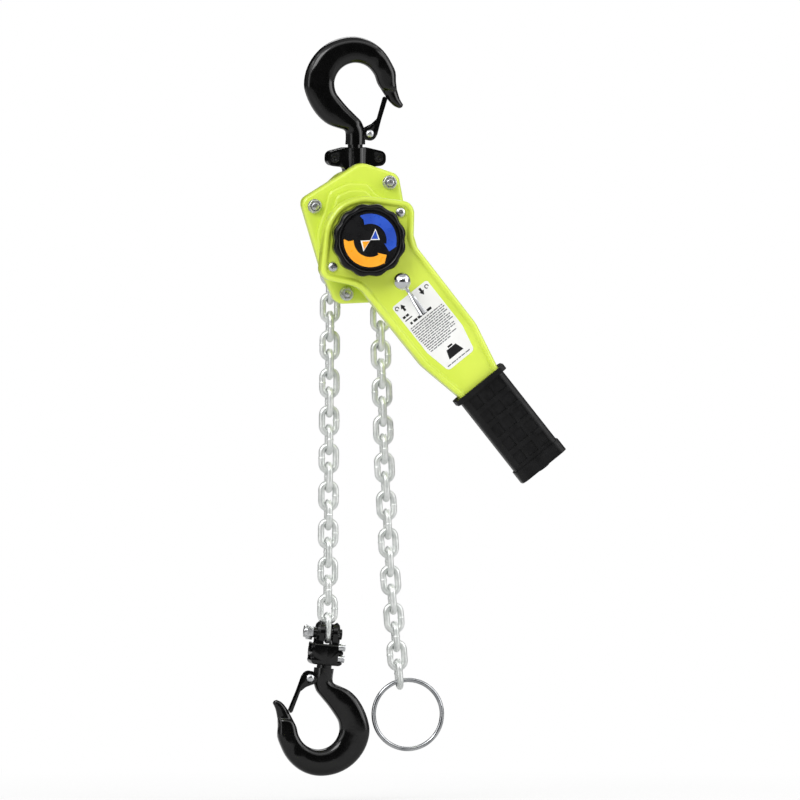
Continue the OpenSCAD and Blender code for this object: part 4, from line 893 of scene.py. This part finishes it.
def links_of(node):
    """The box of each link of a chain solid, as (low corner, high corner) in millimetres."""
    bm = copy_of(node)
    waiting, boxes = set(bm.verts), []
    while waiting:
        reached, shell = [waiting.pop()], []
        while reached:
            vert = reached.pop()
            shell.append(vert.co.copy())
            for edge in vert.link_edges:
                other = edge.other_vert(vert)
                if other in waiting:
                    waiting.remove(other)
                    reached.append(other)
        boxes.append([Vector([pick(v[i] for v in shell) for i in range(3)]) for pick in (min, max)])
    bm.free()
    return sorted(boxes, key=lambda corners: -corners[0].z)


def welds(node, first_side, bare=0):
    """A bead round one leg of each link of a chain solid, after the first bare ones."""
    bm = bmesh.new()
    boxes = links_of(node)[bare:]
    middles = [(low + high) / 2 for low, high in boxes]
    lean = (middles[-1] - middles[0]).to_track_quat("Z", "Y").to_matrix().to_4x4()
    for index, (low, high) in enumerate(boxes):
        flat = high.x - low.x > high.y - low.y
        side = first_side if index // 2 % 2 == 0 else -first_side
        leg = Vector((side * LEG_OFFSET, 0, 0)) if flat else Vector((0, -side * LEG_OFFSET, 0))
        bead = bmesh.new()
        turned(bead, BEAD, axis=(0, 0, 1), steps=24)
        bead.transform(Matrix.Translation(middles[index] + leg) @ lean)
        merge(bm, bead)
    return make(node + "_welds", bm, at_seat, galvanised, body_of[node])


for node, side, bare in [("load_chain_top", 1, 3), ("load_chain_middle", -1, 0), ("load_chain_bottom", 1, 0),
                         ("tail_chain_top", 1, 3), ("tail_chain_middle", 1, 0), ("tail_chain_low", -1, 0),
                         ("tail_chain_bottom", -1, 0)]:
    welds(node, side, bare)

# %% [markdown]
# ## End ring
#
# A ring of round plated bar closes the slack end of the chain. A circle spun about the
# ring's centre makes it.

# %% End ring
RING_CENTRE, RING_RADIUS, BAR_RADIUS = (59.33, -703.35), 38.5, 2.5
bm = bmesh.new()
wire = bmesh.ops.create_circle(bm, segments=28, radius=BAR_RADIUS)["verts"]
bmesh.ops.translate(bm, vec=(RING_RADIUS, 0, 0), verts=wire)
bmesh.ops.spin(bm, geom=list(bm.verts) + list(bm.edges), cent=(0, 0, 0), axis=(0, 1, 0), angle=math.tau,
               steps=144, use_merge=True)
ring_place = Matrix.Translation((RING_CENTRE[0], 0, RING_CENTRE[1]))
make("end_ring_bar", bm, ring_place, ring_plate, "end_ring", ["end_ring"], 60)

# %% [markdown]
# ## Floor and light
#
# The tool hangs over a pale floor in a white room. The camera sees pure white. A mirror
# sees dark screens in front and behind, and bright ones beside and above: that draws the
# dark rims and thin lines of light which metal and enamel need. What only lights is an
# even grey. Three large lamps, one strong and two weak, give the paint its soft shapes.

# %% World
world = bpy.data.worlds.new("white_room")
scene.world = world
world.use_nodes = True
tree = world.node_tree
back = tree.nodes["Background"]
path = add(tree, "ShaderNodeLightPath").outputs
seen = add(tree, "ShaderNodeMath", {"operation": "MAXIMUM"},
           {0: path["Is Camera Ray"], 1: path["Is Transmission Ray"]})
way = add(tree, "ShaderNodeTexCoord").outputs["Generated"]
part = add(tree, "ShaderNodeSeparateXYZ", links={0: way}).outputs


def band(source, values):
    """A ramp over one direction of the room, from (position from -1 to 1, brightness) pairs."""
    spot = add(tree, "ShaderNodeMapRange", {"From Min": -1, "From Max": 1}, {"Value": source})
    ramp = add(tree, "ShaderNodeValToRGB", links={0: spot.outputs["Result"]})
    stops = ramp.color_ramp.elements
    for index, (place_on, level) in enumerate(values):
        stop = stops[index] if index in (0, 1) else stops.new((place_on + 1) / 2)
        stop.position = (place_on + 1) / 2
        stop.color = (level, level, level, 1)
    return ramp.outputs["Color"]


across = band(part["X"], [(-1, 0.25), (1, 0.25), (-0.95, 0.3), (-0.92, 1.1), (-0.86, 1.1), (-0.85, 4),
                          (-0.82, 4), (-0.81, 1), (-0.7, 1), (-0.62, 0.03), (0.66, 0.03), (0.74, 1),
                          (0.81, 1), (0.82, 3), (0.85, 3), (0.86, 1), (0.93, 1), (0.96, 0.3)])
upright = band(part["Z"], [(-1, 0.2), (1, 0.6), (-0.6, 0.2), (-0.35, 0.03), (0.42, 0.03), (0.52, 1),
                           (0.66, 1), (0.68, 3), (0.71, 3), (0.73, 1), (0.84, 1), (0.9, 0.4)])
front = band(part["Y"], [(-1, 1), (1, 0.08), (0.05, 1), (0.4, 0.1)])
both = add(tree, "ShaderNodeMix", {"data_type": "RGBA", "blend_type": "LIGHTEN", 0: 1},
           {6: across, 7: upright})
bands = add(tree, "ShaderNodeMix", {"data_type": "RGBA", "blend_type": "MULTIPLY", 0: 1},
            {6: both.outputs[2], 7: front})
soft = add(tree, "ShaderNodeMix", {"data_type": "RGBA", 6: (0.7, 0.7, 0.7, 1)},
           {0: path["Is Glossy Ray"], 7: bands.outputs[2]})
final = add(tree, "ShaderNodeMix", {"data_type": "RGBA", 7: (1, 1, 1, 1)},
            {0: seen.outputs[0], 6: soft.outputs[2]})
tree.links.new(final.outputs[2], back.inputs["Color"])
scene.view_settings.view_transform = "Standard"
print("world ready")

# %% Floor
FLOOR_Z, FLOOR_RADIUS = -0.80, 6
bm = bmesh.new()
bmesh.ops.create_circle(bm, cap_ends=True, segments=64, radius=FLOOR_RADIUS)
bmesh.ops.translate(bm, vec=(0, 0, FLOOR_Z), verts=bm.verts)
mesh = bpy.data.meshes.new("studio_floor")
bm.to_mesh(mesh)
bm.free()
floor = bpy.data.objects.new("studio_floor", mesh)
scene.collection.objects.link(floor)
paper = bpy.data.materials.new("white_backdrop_paper")
paper.use_nodes = True
tree = paper.node_tree
shader = tree.nodes["Principled BSDF"]
shader.inputs["Roughness"].default_value = 0.8
glow = add(tree, "ShaderNodeEmission", {"Color": (1, 1, 1, 1), "Strength": 1})
path = add(tree, "ShaderNodeLightPath").outputs
tone = add(tree, "ShaderNodeMix", {"data_type": "RGBA", 6: linear("#F4F4F4"), 7: linear("#C4C4C4")},
           {0: path["Is Glossy Ray"]})
tree.links.new(tone.outputs[2], shader.inputs["Base Color"])
where = add(tree, "ShaderNodeTexCoord").outputs["Object"]
far = add(tree, "ShaderNodeVectorMath", {"operation": "DISTANCE", 1: (0, 0, FLOOR_Z)}, {0: where})
fade = add(tree, "ShaderNodeMapRange", {"From Min": 0.15, "From Max": 1.0, "To Min": 0.6, "To Max": 1},
           {"Value": far.outputs["Value"]})
share = add(tree, "ShaderNodeMath", {"operation": "MULTIPLY"},
            {0: path["Is Camera Ray"], 1: fade.outputs["Result"]})
mix = add(tree, "ShaderNodeMixShader", links={0: share.outputs[0], 1: shader.outputs[0], 2: glow.outputs[0]})
tree.links.new(mix.outputs[0], tree.nodes["Material Output"].inputs["Surface"])
mesh.materials.append(paper)
print("floor at", FLOOR_Z)


# %% Lamps
TOOL_MIDDLE = Vector((0.05, 0, -0.35))


def lamp(name, where_from, size, power):
    """A large soft lamp that looks at the middle of the tool."""
    light = bpy.data.lights.new(name, "AREA")
    light.shape, light.size, light.energy = "SQUARE", size, power
    made = bpy.data.objects.new(name, light)
    made.location = where_from
    made.rotation_mode = "QUATERNION"
    made.rotation_quaternion = (TOOL_MIDDLE - Vector(where_from)).to_track_quat("-Z", "Y")
    scene.collection.objects.link(made)


lamp("key_lamp", (-1.3, -1.9, 1.2), 1.2, 26)
lamp("fill_lamp", (1.9, -1.5, 0.3), 1.4, 12)
lamp("rim_lamp", (0.4, 1.8, 1.2), 1.4, 14)
